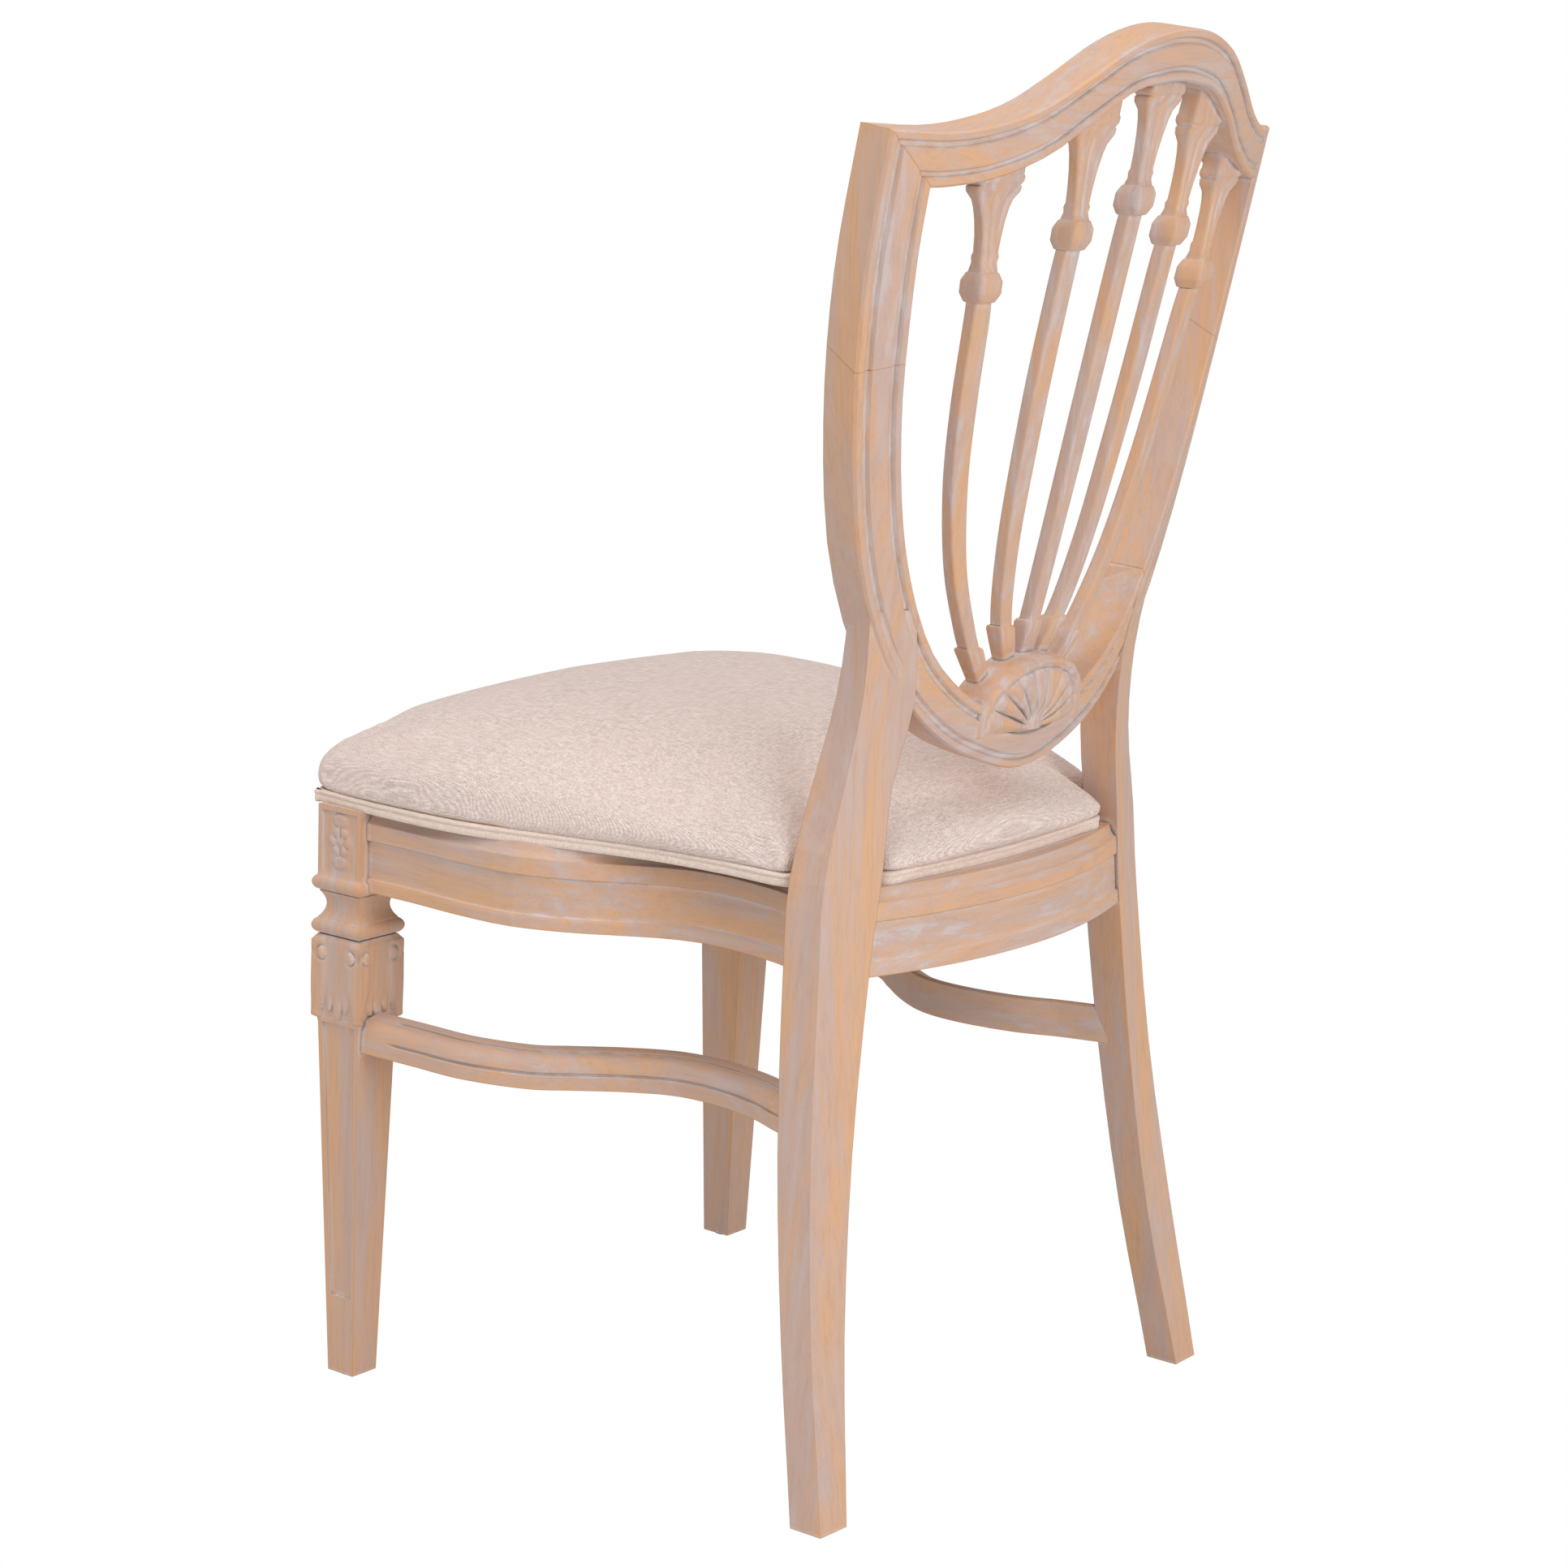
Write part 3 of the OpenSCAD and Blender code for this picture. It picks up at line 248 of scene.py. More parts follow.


# scale of the weave per metre, and its colours, with painted shade between the threads
THREADS = 400
SLUB_DARK, SLUB_LIGHT = (0.63, 0.49, 0.43), (0.97, 0.86, 0.82)
PAINTED_THREAD_GAP_SHADE, WORN_CLOTH = (0.56, 0.40, 0.325), (0.84, 0.66, 0.61)


def weave_group():
    """A plain weave of uneven threads that cross, with painted shade between the threads, a little
    uneven in colour over the piece.
    """
    tree, start, end = new_group("plain weave", [("Thread", "NodeSocketVector")], [
        ("Color", "NodeSocketColor"), ("Height", "NodeSocketFloat")])
    thread = start.outputs["Thread"]
    threads = []
    for direction in ("X", "Y"):
        item = add(tree, "ShaderNodeTexWave", Scale=1.0, Distortion=1.2, Detail=1.0)
        item.bands_direction = direction
        link(tree, thread, item.inputs["Vector"])
        threads.append(item.outputs["Fac"])
    slubs = []
    for scale in ((0.26, 2.2, 2), (2.2, 0.26, 2)):
        item = add(tree, "ShaderNodeTexNoise", Scale=1.0, Detail=3.0, Roughness=0.7)
        mapping = add(tree, "ShaderNodeMapping", Scale=scale)
        link(tree, thread, mapping.inputs["Vector"])
        link(tree, mapping.outputs["Vector"], item.inputs["Vector"])
        slubs.append(item.outputs["Fac"])
    cloud = add(tree, "ShaderNodeTexNoise", Scale=0.05, Detail=4.0, Roughness=0.6)
    link(tree, thread, cloud.inputs["Vector"])

    crossing = maths(tree, "MAXIMUM", *threads)
    slub = times(tree, maths(tree, "ADD", *slubs), 0.5)
    light = blend(tree, ramp(tree, slub, [(0.4, 0), (0.6, 1)]), SLUB_DARK, SLUB_LIGHT)
    # painted shade: the gaps between the threads are darkened
    shaded = blend(tree, ramp(tree, crossing, [(0.2, 0.35), (0.8, 0)]), light, PAINTED_THREAD_GAP_SHADE)
    worn = ramp(tree, cloud.outputs["Fac"], [(0.4, 0), (0.65, 0.35)])
    link(tree, blend(tree, worn, shaded, WORN_CLOTH), end.inputs["Color"])
    link(tree, maths(tree, "ADD", crossing, slub), end.inputs["Height"])
    return tree


def cloth_material(name, group, tint, tint_share, strength):
    """Woven cloth; tint takes tint_share of its colour and strength is that of its threads' relief."""
    material, tree, shader = new_material(name)
    place = tree.nodes.new("ShaderNodeTexCoord")
    mapping = add(tree, "ShaderNodeMapping", Scale=(THREADS, THREADS, THREADS))
    weave = tree.nodes.new("ShaderNodeGroup")
    weave.node_tree = group
    bump = add(tree, "ShaderNodeBump", Strength=strength, Distance=0.0005)
    link(tree, place.outputs["Object"], mapping.inputs["Vector"])
    link(tree, mapping.outputs["Vector"], weave.inputs["Thread"])
    link(tree, blend(tree, tint_share, weave.outputs["Color"], tint), shader.inputs["Base Color"])
    link(tree, weave.outputs["Height"], bump.inputs["Height"])
    link(tree, bump.outputs["Normal"], shader.inputs["Normal"])
    shader.inputs["Roughness"].default_value = 0.95
    shader.inputs["Specular IOR Level"].default_value = 0.15
    shader.inputs["Sheen Weight"].default_value = 0.15
    return material


def speckled(name, dark, light, scale, roughness, metallic, height):
    """A plain finish with a fine speckle: bare wood, metal or black cloth."""
    material, tree, shader = new_material(name)
    place = tree.nodes.new("ShaderNodeTexCoord")
    mapping = add(tree, "ShaderNodeMapping", Scale=scale)
    speckle = add(tree, "ShaderNodeTexNoise", Scale=1.0, Detail=4.0, Roughness=0.65)
    bump = add(tree, "ShaderNodeBump", Strength=0.2, Distance=height)
    link(tree, place.outputs["Object"], mapping.inputs["Vector"])
    link(tree, mapping.outputs["Vector"], speckle.inputs["Vector"])
    colour = ramp(tree, speckle.outputs["Fac"], [(0.35, dark), (0.65, light)])
    link(tree, colour, shader.inputs["Base Color"])
    link(tree, speckle.outputs["Fac"], bump.inputs["Height"])
    link(tree, bump.outputs["Normal"], shader.inputs["Normal"])
    shader.inputs["Roughness"].default_value = roughness
    shader.inputs["Metallic"].default_value = metallic
    return material


limed_grain = limed_grain_group()
plain_weave = weave_group()
# scale of the grain's pattern per metre along X, Y and Z, small along the grain
UPRIGHT, FRONT_TO_BACK, CROSSWISE = (110, 110, 7), (110, 7, 110), (7, 110, 110)
leg_beech = limed_beech("limed beech of the front legs", limed_grain, UPRIGHT, (0, 0, 0), 1.0, 0.6)
rib_beech = limed_beech("limed beech of the ribs", limed_grain, UPRIGHT, (1, 0, 2), 0.8, 1.25)
beech_deep = limed_beech("limed beech, grain front to back", limed_grain, FRONT_TO_BACK,
                         (3, 0, 1), 1.0, 0.8)
beech_across = limed_beech("limed beech, grain across", limed_grain, CROSSWISE, (0, 2, 5), 1.0, 0.9)
back_rail_beech = limed_beech("limed beech of the back rail", limed_grain, CROSSWISE,
                              (0, 4, 5), 1.0, 1.25)
back_leg_beech = limed_beech("limed beech of the back legs", limed_grain, UPRIGHT,
                             (0, 0, 0), 0.5, 0.55)
stile_beech = limed_beech("limed beech of the stiles", limed_grain, UPRIGHT, (0, 0, 0), 0.5, 1.0)
base_beech = limed_beech("limed beech of the shield's base", limed_grain, CROSSWISE,
                         (0, 2, 5), 0.5, 1.0)
cover_cloth = cloth_material("cover cloth", plain_weave, (0.79, 0.64, 0.57), 0.15, 0.6)
band_cloth = cloth_material("band cloth", plain_weave, (0.82, 0.67, 0.55), 0.5, 0.3)
bare_beech = speckled("bare beech", (0.50, 0.33, 0.17), (0.62, 0.44, 0.25),
                      (20, 160, 160), 0.6, 0.0, 0.0004)
plywood = speckled("plywood", (0.46, 0.31, 0.15), (0.63, 0.45, 0.25), (30, 160, 900), 0.65, 0.0, 0.0004)
zinc = speckled("zinc", (0.45, 0.45, 0.47), (0.62, 0.62, 0.64), (400, 400, 400), 0.4, 1.0, 0.0001)
glide_steel = speckled("bright steel", (0.55, 0.55, 0.56), (0.7, 0.7, 0.7),
                       (500, 500, 500), 0.28, 1.0, 0.0001)
dust_black = speckled("black dust cloth", (0.008, 0.008, 0.009), (0.022, 0.022, 0.024),
                      (900, 900, 900), 0.95, 0.0, 0.0003)


def dress(piece, material):
    if piece.data.materials:
        for index in range(len(piece.data.materials)):
            piece.data.materials[index] = material
    else:
        piece.data.materials.append(material)
    for slot in piece.material_slots:
        slot.material = material


# the pieces that keep their CAD shape
FINISHES = [
    (back_leg_beech, ["back_leg_left", "back_leg_right"]),
    (stile_beech, ["stile_left", "stile_right"]),
    (base_beech, ["shield_base"]),
    (beech_across, ["crest_rail", "front_rail", "rail_plugs"]),
    (back_rail_beech, ["back_rail"]),
    (beech_deep, ["side_rail_left", "side_rail_right"]),
    (bare_beech, ["corner_block_front_left", "corner_block_front_right", "corner_block_back_left",
                  "corner_block_back_right", "shield_dowels"]),
    (plywood, ["seat_board"]),
    (zinc, ["block_screws", "seat_screws"]),
    (glide_steel, ["glides"]),
]
for material, names in FINISHES:
    for name in names:
        dress(nodes[name], material)


# ---- front legs: every face is carved from one outline, in millimetres ----
LEG_X, LEG_Y = 215.0, -225.744
RAIL_TOP, BLOCK_FOOT = 417.0, 367.5
CAPITAL_TOP, CAPITAL_FOOT = 324.5, 264.5
GLIDE_T = 2.0
FOOT_HALF, SHAFT_TOP_HALF, BLOCK_HALF = 12.0, 19.25, 20.0
CAPITAL_FOOT_HALF, CAPITAL_TOP_HALF, CAPITAL_SWELL_H = 18.6, 19.4, 30.0
COLLAR_R, COLLAR_CORE, COLLAR_LEAST = 6.0, 17.0, 17.5
NECK_HALF, NECK_RIM = 15.5, 19.6
PANEL_FOOT, PANEL_TOP, PANEL_BORDER, PANEL_DEPTH = 59.7, 260.5, 4.0, 1.8
SIDE_STEPS = 36


def collar_half(z, middle):
    return COLLAR_CORE + math.sqrt(max(0.0, COLLAR_R ** 2 - (z - middle) ** 2))


def leg_half(z):
    """Half the leg's width at a height."""
    collar_h = 2 * COLLAR_R
    if z >= BLOCK_FOOT:
        return BLOCK_HALF
    if z >= BLOCK_FOOT - collar_h:
        return max(COLLAR_LEAST, collar_half(z, BLOCK_FOOT - COLLAR_R))
    if z >= CAPITAL_TOP + collar_h:
        neck_h = BLOCK_FOOT - CAPITAL_TOP - 2 * collar_h
        share = clip((z - CAPITAL_TOP - collar_h) / neck_h)
        return mix(NECK_HALF, NECK_RIM, 1 - math.sin(math.pi * share) ** 0.8)
    if z >= CAPITAL_TOP:
        return max(COLLAR_LEAST, collar_half(z, CAPITAL_TOP + COLLAR_R))
    if z >= CAPITAL_FOOT:
        return mix(CAPITAL_FOOT_HALF, CAPITAL_TOP_HALF, ease((z - CAPITAL_FOOT) / CAPITAL_SWELL_H))
    return mix(FOOT_HALF, SHAFT_TOP_HALF, (z - GLIDE_T) / (CAPITAL_FOOT - GLIDE_T))


# the leaf round each corner of the capital, the eye near its top and the ring cut round that
CORNER, LEAF_T, LEAF_TIP_REACH, LEAF_REACH, LEAF_TOP_LOSS = 19.3, 3.4, 3.0, 9.0, 2.0
LINE_DEPTH, LINE_PLACE, LINE_WIDTH = 0.9, 0.78, 0.08
EYE_IN, EYE_UP, EYE_STRETCH, EYE_R, EYE_T = 5.6, 0.79, 50.0, 3.6, 1.5
RING_R, RING_WIDTH, RING_DEPTH, EYE_LIMIT = 4.4, 0.8, 1.9, 6.5
# the three leaves between the corners: place across, share of the way up, width each way, thickness
TONGUES = [(0, 0.0, 4.6, 3.6), (-7.6, 0.08, 3.4, 3.0), (7.6, 0.08, 3.4, 3.0)]
TONGUE_SHARE, CAPITAL_BED_T = 0.45, 1.8


def wing(inward, v):
    """Relief of the leaf round a corner, at a distance in from it and a share v of the way up."""
    reach = LEAF_TIP_REACH + LEAF_REACH * ease(v * 1.9) - LEAF_TOP_LOSS * ease((v - 0.6) * 2.5)
    side = inward / reach
    if side >= 1:
        return 0.0
    body = LEAF_T * (1 - side ** 6) ** 0.5 * (1 + 0.22 * (1 - v) ** 3)
    line = LINE_DEPTH * math.exp(-((side - LINE_PLACE) / LINE_WIDTH) ** 2) * clip(v * 4)
    far = math.hypot(inward - EYE_IN, (v - EYE_UP) * EYE_STRETCH)
    eye = 0.0
    if far < EYE_LIMIT:
        ring = RING_DEPTH * math.exp(-((far - RING_R) / RING_WIDTH) ** 2)
        eye = EYE_T * clip(1 - (far / EYE_R) ** 2) ** 0.5 - ring
    return body - line + eye


def tongue(u, v, centre, foot, width, height):
    """Relief of a small smooth leaf that hangs between two corners."""
    rise = (v - foot) / TONGUE_SHARE
    if rise <= 0 or rise >= 1:
        return 0.0
    side = abs(u - centre) / (width * clip(rise * 3) ** 0.5)
    if side >= 1:
        return 0.0
    return height * (1 - side * side) ** 0.5 * (1 - rise) ** 0.6


def capital_relief(u, z):
    v = (z - CAPITAL_FOOT) / (CAPITAL_TOP - CAPITAL_FOOT)
    if v < -0.02 or v > 1:
        return 0.0
    reliefs = [tongue(u, v, *leaf) for leaf in TONGUES]
    reliefs += [CAPITAL_BED_T * ease((v - 0.1) * 5), wing(CORNER - abs(u), clip(v))]
    return max(reliefs) * clip((1.0 - v) * 14) * clip((v + 0.02) * 30)


BED_HALF_WIDTH, BED_HALF_HEIGHT, BED_DEPTH = 16.0, 20.7, 1.5
FLOWER_R, PETAL_T, PETAL_MIDDLE, BUTTON_R, BUTTON_T = 11.5, 2.0, 7.5, 3.2, 2.1
TIP_LEAF_PLACE, TIP_LEAF_R, TIP_LEAF_T = 15.0, 6.5, 1.7


def rosette_relief(u, z):
    """A flower with a small leaf above and below it, in a sunk bed on the leg's block."""
    w = z - (RAIL_TOP + BLOCK_FOOT) / 2
    if abs(u) > BED_HALF_WIDTH or abs(w) > BED_HALF_HEIGHT:
        return 0.0
    far = math.hypot(u, w)
    height = 0.0
    if far < FLOWER_R:
        petal = abs(math.cos(3 * math.atan2(w, u))) ** 0.45
        crown = 0.5 + 0.5 * math.cos((far - PETAL_MIDDLE) / 2.4)
        height = PETAL_T * petal * clip((FLOWER_R - far) / 2.0) * crown
    if far < BUTTON_R:
        height = BUTTON_T * math.sqrt(1 - (far / (BUTTON_R + 0.2)) ** 2)
    for tip in (-1, 1):
        leaf_far = math.hypot(u / 1.15, (w - tip * TIP_LEAF_PLACE) / 0.75)
        if leaf_far < TIP_LEAF_R:
            veins = 0.6 + 0.4 * abs(math.cos(u * 0.9))
            height = max(height, TIP_LEAF_T * clip((TIP_LEAF_R - leaf_far) / 1.5) * veins)
    return height - BED_DEPTH


def face_relief(face, u, z):
    """Relief on one face: the +X and -Y faces carry the panels, all four carry the leaves."""
    height = capital_relief(u, z)
    if face in (0, 3):
        height += rosette_relief(u, z)
        if PANEL_FOOT < z < PANEL_TOP and abs(u) < leg_half(z) - PANEL_BORDER:
            height -= PANEL_DEPTH
    return height


def leg_rows():
    """Heights of the leg's rings: close where it is carved, and in pairs at each sharp step."""
    rows = [GLIDE_T, GLIDE_T + 20, GLIDE_T + 40, BLOCK_FOOT + 0.01, RAIL_TOP]
    rows += [PANEL_FOOT - 0.2, PANEL_FOOT + 0.2, PANEL_TOP - 0.2, PANEL_TOP + 0.2]
    rows += [BLOCK_FOOT + 4.1, BLOCK_FOOT + 4.5, RAIL_TOP - 4.3, RAIL_TOP - 3.9]
    rows += [PANEL_FOOT + 10 * k for k in range(1, 20)]
    rows += [CAPITAL_FOOT - 1 + 0.8 * k for k in range(77)]
    rows += [CAPITAL_TOP + 0.6 * k for k in range(71)]
    rows += [BLOCK_FOOT + 4.9 + 0.8 * k for k in range(50)]
    return sorted(set(rows))


def carved_leg(name, mirror):
    rings = []
    for z in leg_rows():
        half = leg_half(z)
        places = [half * (-1 + 2 * k / SIDE_STEPS) for k in range(SIDE_STEPS)]
        if z < CAPITAL_FOOT:
            low, high = half - PANEL_BORDER - 0.15, half - PANEL_BORDER + 0.15
            border = [mix(-half, -high, k / 3) for k in range(4)]
            count = SIDE_STEPS - 8
            inside = [mix(-low, low, k / count) for k in range(count + 1)]
            places = border + inside + [-p for p in reversed(border[1:])]
        ring = []
        for face in range(4):
            for index, u in enumerate(places):
                out = half + face_relief(face, u, z)
                edge = u if index else -out
                x, y = ((out, edge), (-edge, out), (-out, -edge), (edge, -out))[face]
                ring.append((mirror * (LEG_X + x), LEG_Y + y, z))
        rings.append(ring)
    piece = rings_solid(name, rings)
    piece.data.set_sharp_from_angle(angle=math.radians(38))
    if mirror < 0:
        piece.data.flip_normals()
    dress(piece, leg_beech)
    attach(piece, "root")
    return piece


left_leg = carved_leg("carved_leg_left", 1)
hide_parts("front_leg_left")
right_leg = carved_leg("carved_leg_right", -1)
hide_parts("front_leg_right")


# ---- the carved shell that the ribs rise from ----
TIP_Z, TIP_Y, DISH_R, RAKE = 475.0, 180.256, 450.0, math.radians(11.9)
SHELL_HALF, SHELL_FOOT, SHELL_TOP, SHELL_T = 60.0, 503.0, 552.0, 27.0
LOBES = 9
# the shell's rim, the boss that its rays spring from, and the swelling of the whole
RIM_FROM, RIM_T, BOSS_TO, BOSS_T, RAY_T, SWELL_T = 0.86, 4.2, 0.16, 3.0, 4.6, 3.0
SHELL_LEAN, SHELL_FOLLOWS = 0.094, 0.53


def back_rear(x, z):
    """Place front to back of the raked and dished rear plane of the chair's back."""
    return TIP_Y + (z - TIP_Z) * math.tan(RAKE) - (DISH_R - math.sqrt(DISH_R ** 2 - x * x))


def back_place(x, z, depth):
    turn = math.asin(x / DISH_R) * SHELL_FOLLOWS
    y = back_rear(x, z) - depth * math.cos(turn)
    return (x - depth * math.sin(turn), y, z + depth * SHELL_LEAN)


def shell_rise(turn, share):
    """How far the rear face stands out at a turn round the shell and a share of the way out."""
    ray = (turn / math.pi * LOBES) % 1
    lobe = abs(math.sin(math.pi * ray)) ** 0.7
    rise = RAY_T * lobe * ease(share * 2.2) * clip((RIM_FROM - share) * 12)
    if share > RIM_FROM:
        rise = RIM_T * math.sin(math.pi * clip((share - RIM_FROM) / (1 - RIM_FROM))) ** 0.5
    if share < BOSS_TO:
        rise = max(rise, BOSS_T * math.sqrt(1 - (share / BOSS_TO) ** 2))
    return rise + SWELL_T * (1 - share ** 2)


def carved_shell():
    turns, outs = 118, 26
    face_sunk, scallop_share = 2.5, 0.018
    rise = SHELL_TOP - SHELL_FOOT
    points = []
    for front in (False, True):
        for k in range(turns + 1):
            turn = math.pi * k / turns
            scallop = 1 + scallop_share * abs(math.sin(turn * LOBES))
            for j in range(outs + 1):
                share = j / outs
                x = SHELL_HALF * math.cos(turn) * share * scallop
                z = SHELL_FOOT + rise * math.sin(turn) ** 0.75 * share * scallop
                depth = SHELL_T if front else face_sunk - shell_rise(turn, share)
                points.append(back_place(x, z, depth))
    wide = outs + 1
    side = (turns + 1) * wide
    faces = []
    for k in range(turns):
        for j in range(outs):
            a = k * wide + j
            faces.append((a, a + 1, a + wide + 1, a + wide))
            faces.append((side + a, side + a + wide, side + a + wide + 1, side + a + 1))
        a = k * wide + outs
        faces.append((a, side + a, side + a + wide, a + wide))
    for j in range(outs):
        faces.append((j, side + j, side + j + 1, j + 1))
        a = turns * wide + j
        faces.append((a, a + 1, side + a + 1, side + a))
    piece = mesh_piece("carved_shell", points, faces)
    piece.data.set_sharp_from_angle(angle=math.radians(45))
    dress(piece, rib_beech)
    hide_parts("fan_shell")
    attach(piece, "root")


carved_shell()


# ---- ribs with knops, fluted upper shafts and caps ----
def between(a, b, c, d, t):
    """The smooth curve from b to c; a and d steer its ends."""
    square = (2 * a - 5 * b + 4 * c - d) * t ** 2
    return 0.5 * (2 * b + (c - a) * t + square + (3 * b - a - 3 * c + d) * t ** 3)


def curve_at(table, u):
    """A smooth curve through a list of places; its first and last places only steer the ends."""
    i = int(clip(math.floor(u), 0, len(table) - 4))
    return [between(a, b, c, d, u - i) for a, b, c, d in zip(*table[i:i + 4])]


# middle lines: shares of half the shield's width, and of the way from its tip to its ears
SHIELD_HALF, EAR_Z = 223.0, 901.0
OUTER_RIB = [(0.12, 0.1), (0.225, 0.174), (0.31, 0.238), (0.41, 0.34), (0.485, 0.47),
             (0.525, 0.594), (0.55, 0.716), (0.567, 0.773), (0.582, 0.85), (0.597, 0.913), (0.61, 1)]
INNER_RIB = [(0.05, 0.15), (0.112, 0.204), (0.165, 0.27), (0.208, 0.376), (0.233, 0.505),
             (0.25, 0.64), (0.258, 0.79), (0.262, 0.848), (0.273, 0.92), (0.284, 0.996), (0.295, 1.1)]
MIDDLE_RIB = [(0, 0.1), (0, 0.207), (0, 0.27), (0, 0.376), (0, 0.505), (0, 0.67), (0, 0.84),
              (0, 0.898), (0, 0.98), (0, 1.064), (0, 1.15)]
# which places of a middle line the knop and the crest stand at
KNOP, CAP, CAP_END = 6, 8, 1.25
# rise above the first place, width, thickness, squareness of the corners, depth of the flutes
RIB_FOOT = [(-12, 14, 11, 5, 0), (1, 16, 13.5, 5, 0.5), (8, 16.8, 14, 6, 1.2),
            (11.5, 17.4, 14.4, 6, 1.6), (13.2, 16, 13, 6, 1.0), (13.8, 13, 10.2, 7, 0)]
# place, width
RIB_SHAFT = [(0.35, 12.6), (1, 12.9), (2, 13.9), (3, 15.6), (4, 16.5), (5, 15.9), (6, 14.2)]
# rise above the knop's middle, width, thickness, squareness of the corners
RIB_KNOP = [(-10.6, 14.0, 10.2, 7), (-10.0, 15.2, 14.8, 7), (-9.4, 16.0, 16.0, 7),
            (-4.8, 20.3, 20.3, 7), (-4.2, 20.7, 20.7, 7), (3.4, 20.7, 20.7, 7),
            (4.0, 20.3, 20.3, 7), (8.4, 16.4, 16.4, 7), (9.0, 15.2, 14.4, 6)]
# share of the way from the knop to the crest, width, thickness, depth of the flutes
RIB_TRUMPET = [(0.19, 15.6, 10.5, 1.6), (0.24, 16.6, 11.5, 2.0), (0.27, 15.4, 9.8, 2.2),
               (0.4, 17.6, 9.4, 2.3), (0.55, 21.4, 9.3, 2.4), (0.68, 26.0, 9.6, 2.4),
               (0.76, 30.5, 10.4, 2.4), (0.8, 35.5, 12.4, 2.6), (0.83, 39.0, 14.4, 2.4),
               (0.87, 39.6, 15.4, 1.4), (0.88, 37.2, 14.6, 0.2), (0.895, 38.4, 16.4, 0),
               (0.91, 41.0, 17.4, 0), (0.94, 41.4, 17.6, 0), (0.955, 39.4, 16.6, 0)]
# depth of the ribs' middle below the back's rear plane, at their feet and from the knops up
RIB_DEEP, RIB_SHALLOW = 21.7, 16.12
# share of the dish's turn that a rib takes, a shaft's thickness, a cap's run into the crest,
# and the points of a ring
RIB_FOLLOWS, SHAFT_T, END_RISE, AROUND = 0.5, 10, 11, 56


def rib_place(table, u):
    across, up = curve_at(table, u)
    return across * SHIELD_HALF, mix(TIP_Z, EAR_Z, up)


def rib_ring(table, u, rise, wide, thick, square, flute):
    """A ring round a rib: a rounded square with flutes in its front and rear faces."""
    x, z = rib_place(table, u)
    ahead = rib_place(table, u + 0.05)
    x += rise * (ahead[0] - x) / (ahead[1] - z)
    z += rise
    middle = back_rear(x, z) - mix(RIB_DEEP, RIB_SHALLOW, min(1, u / KNOP))
    turn = math.asin(x / DISH_R) * RIB_FOLLOWS
    ring = []
    for k in range(AROUND):
        a = 2 * math.pi * k / AROUND
        c, t = math.cos(a), math.sin(a)
        size = (abs(c) ** square + abs(t) ** square) ** (-1 / square)
        p, q = c * size, t * size
        wave = 0.5 + 0.5 * math.cos(p * 3 * math.pi)
        groove = flute * wave * clip((abs(q) - 0.8) * 8) * clip((1 - abs(p)) * 5)
        across = p * wide / 2
        back = q * thick / 2 - math.copysign(groove, q)
        ring.append((x + across * math.cos(turn) + back * math.sin(turn),
                     middle - across * math.sin(turn) + back * math.cos(turn), z))
    return ring


def carved_rib(name, node, table, mirror, reach):
    """A rib along a middle line; reach is how far up its cap stands."""
    rings = [rib_ring(table, 0, *row) for row in RIB_FOOT]
    for k in range(45):
        u = 0.5 + 5.0 * k / 44
        rings.append(rib_ring(table, u, 0, along(RIB_SHAFT, u), SHAFT_T, 7, 0))
    rings += [rib_ring(table, KNOP, *row, 0) for row in RIB_KNOP]
    for share, wide, thick, flute in RIB_TRUMPET:
        rings.append(rib_ring(table, mix(KNOP, CAP, share * reach), 0, wide, thick, 6, flute))
    rings.append(rib_ring(table, mix(KNOP, CAP, CAP_END), END_RISE, wide, thick, 6, 0))
    rings = [[(mirror * x, y, z) for x, y, z in ring] for ring in rings]
    piece = rings_solid(name, rings)
    if mirror < 0:
        piece.data.flip_normals()
    piece.data.set_sharp_from_angle(angle=math.radians(40))
    dress(piece, rib_beech)
    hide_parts(node)
    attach(piece, "root")


RIBS = [(1, OUTER_RIB, 1, 1.2), (2, INNER_RIB, 1, 1.2), (3, MIDDLE_RIB, 1, 1.06),
        (4, INNER_RIB, -1, 1.2), (5, OUTER_RIB, -1, 1.2)]
for number, table, mirror, reach in RIBS:
    carved_rib(f"carved_rib_{number}", f"rib_{number}", table, mirror, reach)


# ---- stretchers: a rounded upper bead, a groove and a plain face, stopped before the front leg ----
# outer face from the front leg to the back leg: shares of the way back, and of the way out
STRETCH_PATH = [(-0.05, 0.97), (-0.015, 0.97), (0.134, 0.96), (0.27, 0.94), (0.402, 0.66),
                (0.476, 0.25), (0.553, -0.19), (0.635, -0.52), (0.725, -0.585), (0.831, -0.46),
                (0.92, -0.2), (1.02, 0.02), (1.1, 0.2)]
STRETCH_FRONT, STRETCH_REAR = (232.06, -206.69), (183.09, 143.52)
STRETCH_TOP, PLAIN_END, STOP_LENGTH = 271.0, 24.0, 5.0
# how far in from the outer face, how far down from the top, and how deep the worked profile is there
STRETCH_SECTION = [(18, 27, 0), (0, 27, 0), (0, 25.6, 0), (0, 17.6, 0), (0, 16.6, 1.5),
                   (0, 15.6, 1.7), (0, 14.8, 0.1), (0.2, 12.5, 0), (0.9, 9.6, 0), (2.4, 6.6, 0),
                   (4.6, 4.3, 0), (7.0, 2.9, 0.2), (8.0, 2.5, 1.1), (9.0, 2.1, 1.1),
                   (9.8, 1.6, 0.1), (13, 0.5, 0), (16.5, 0.1, 0), (18, 1.4, 0)]
ON_TOP = 6


def stretch_place(u):
    back, out = curve_at(STRETCH_PATH, u)
    x = mix(STRETCH_REAR[0], STRETCH_FRONT[0], out)
    return x, mix(STRETCH_FRONT[1], STRETCH_REAR[1], back)


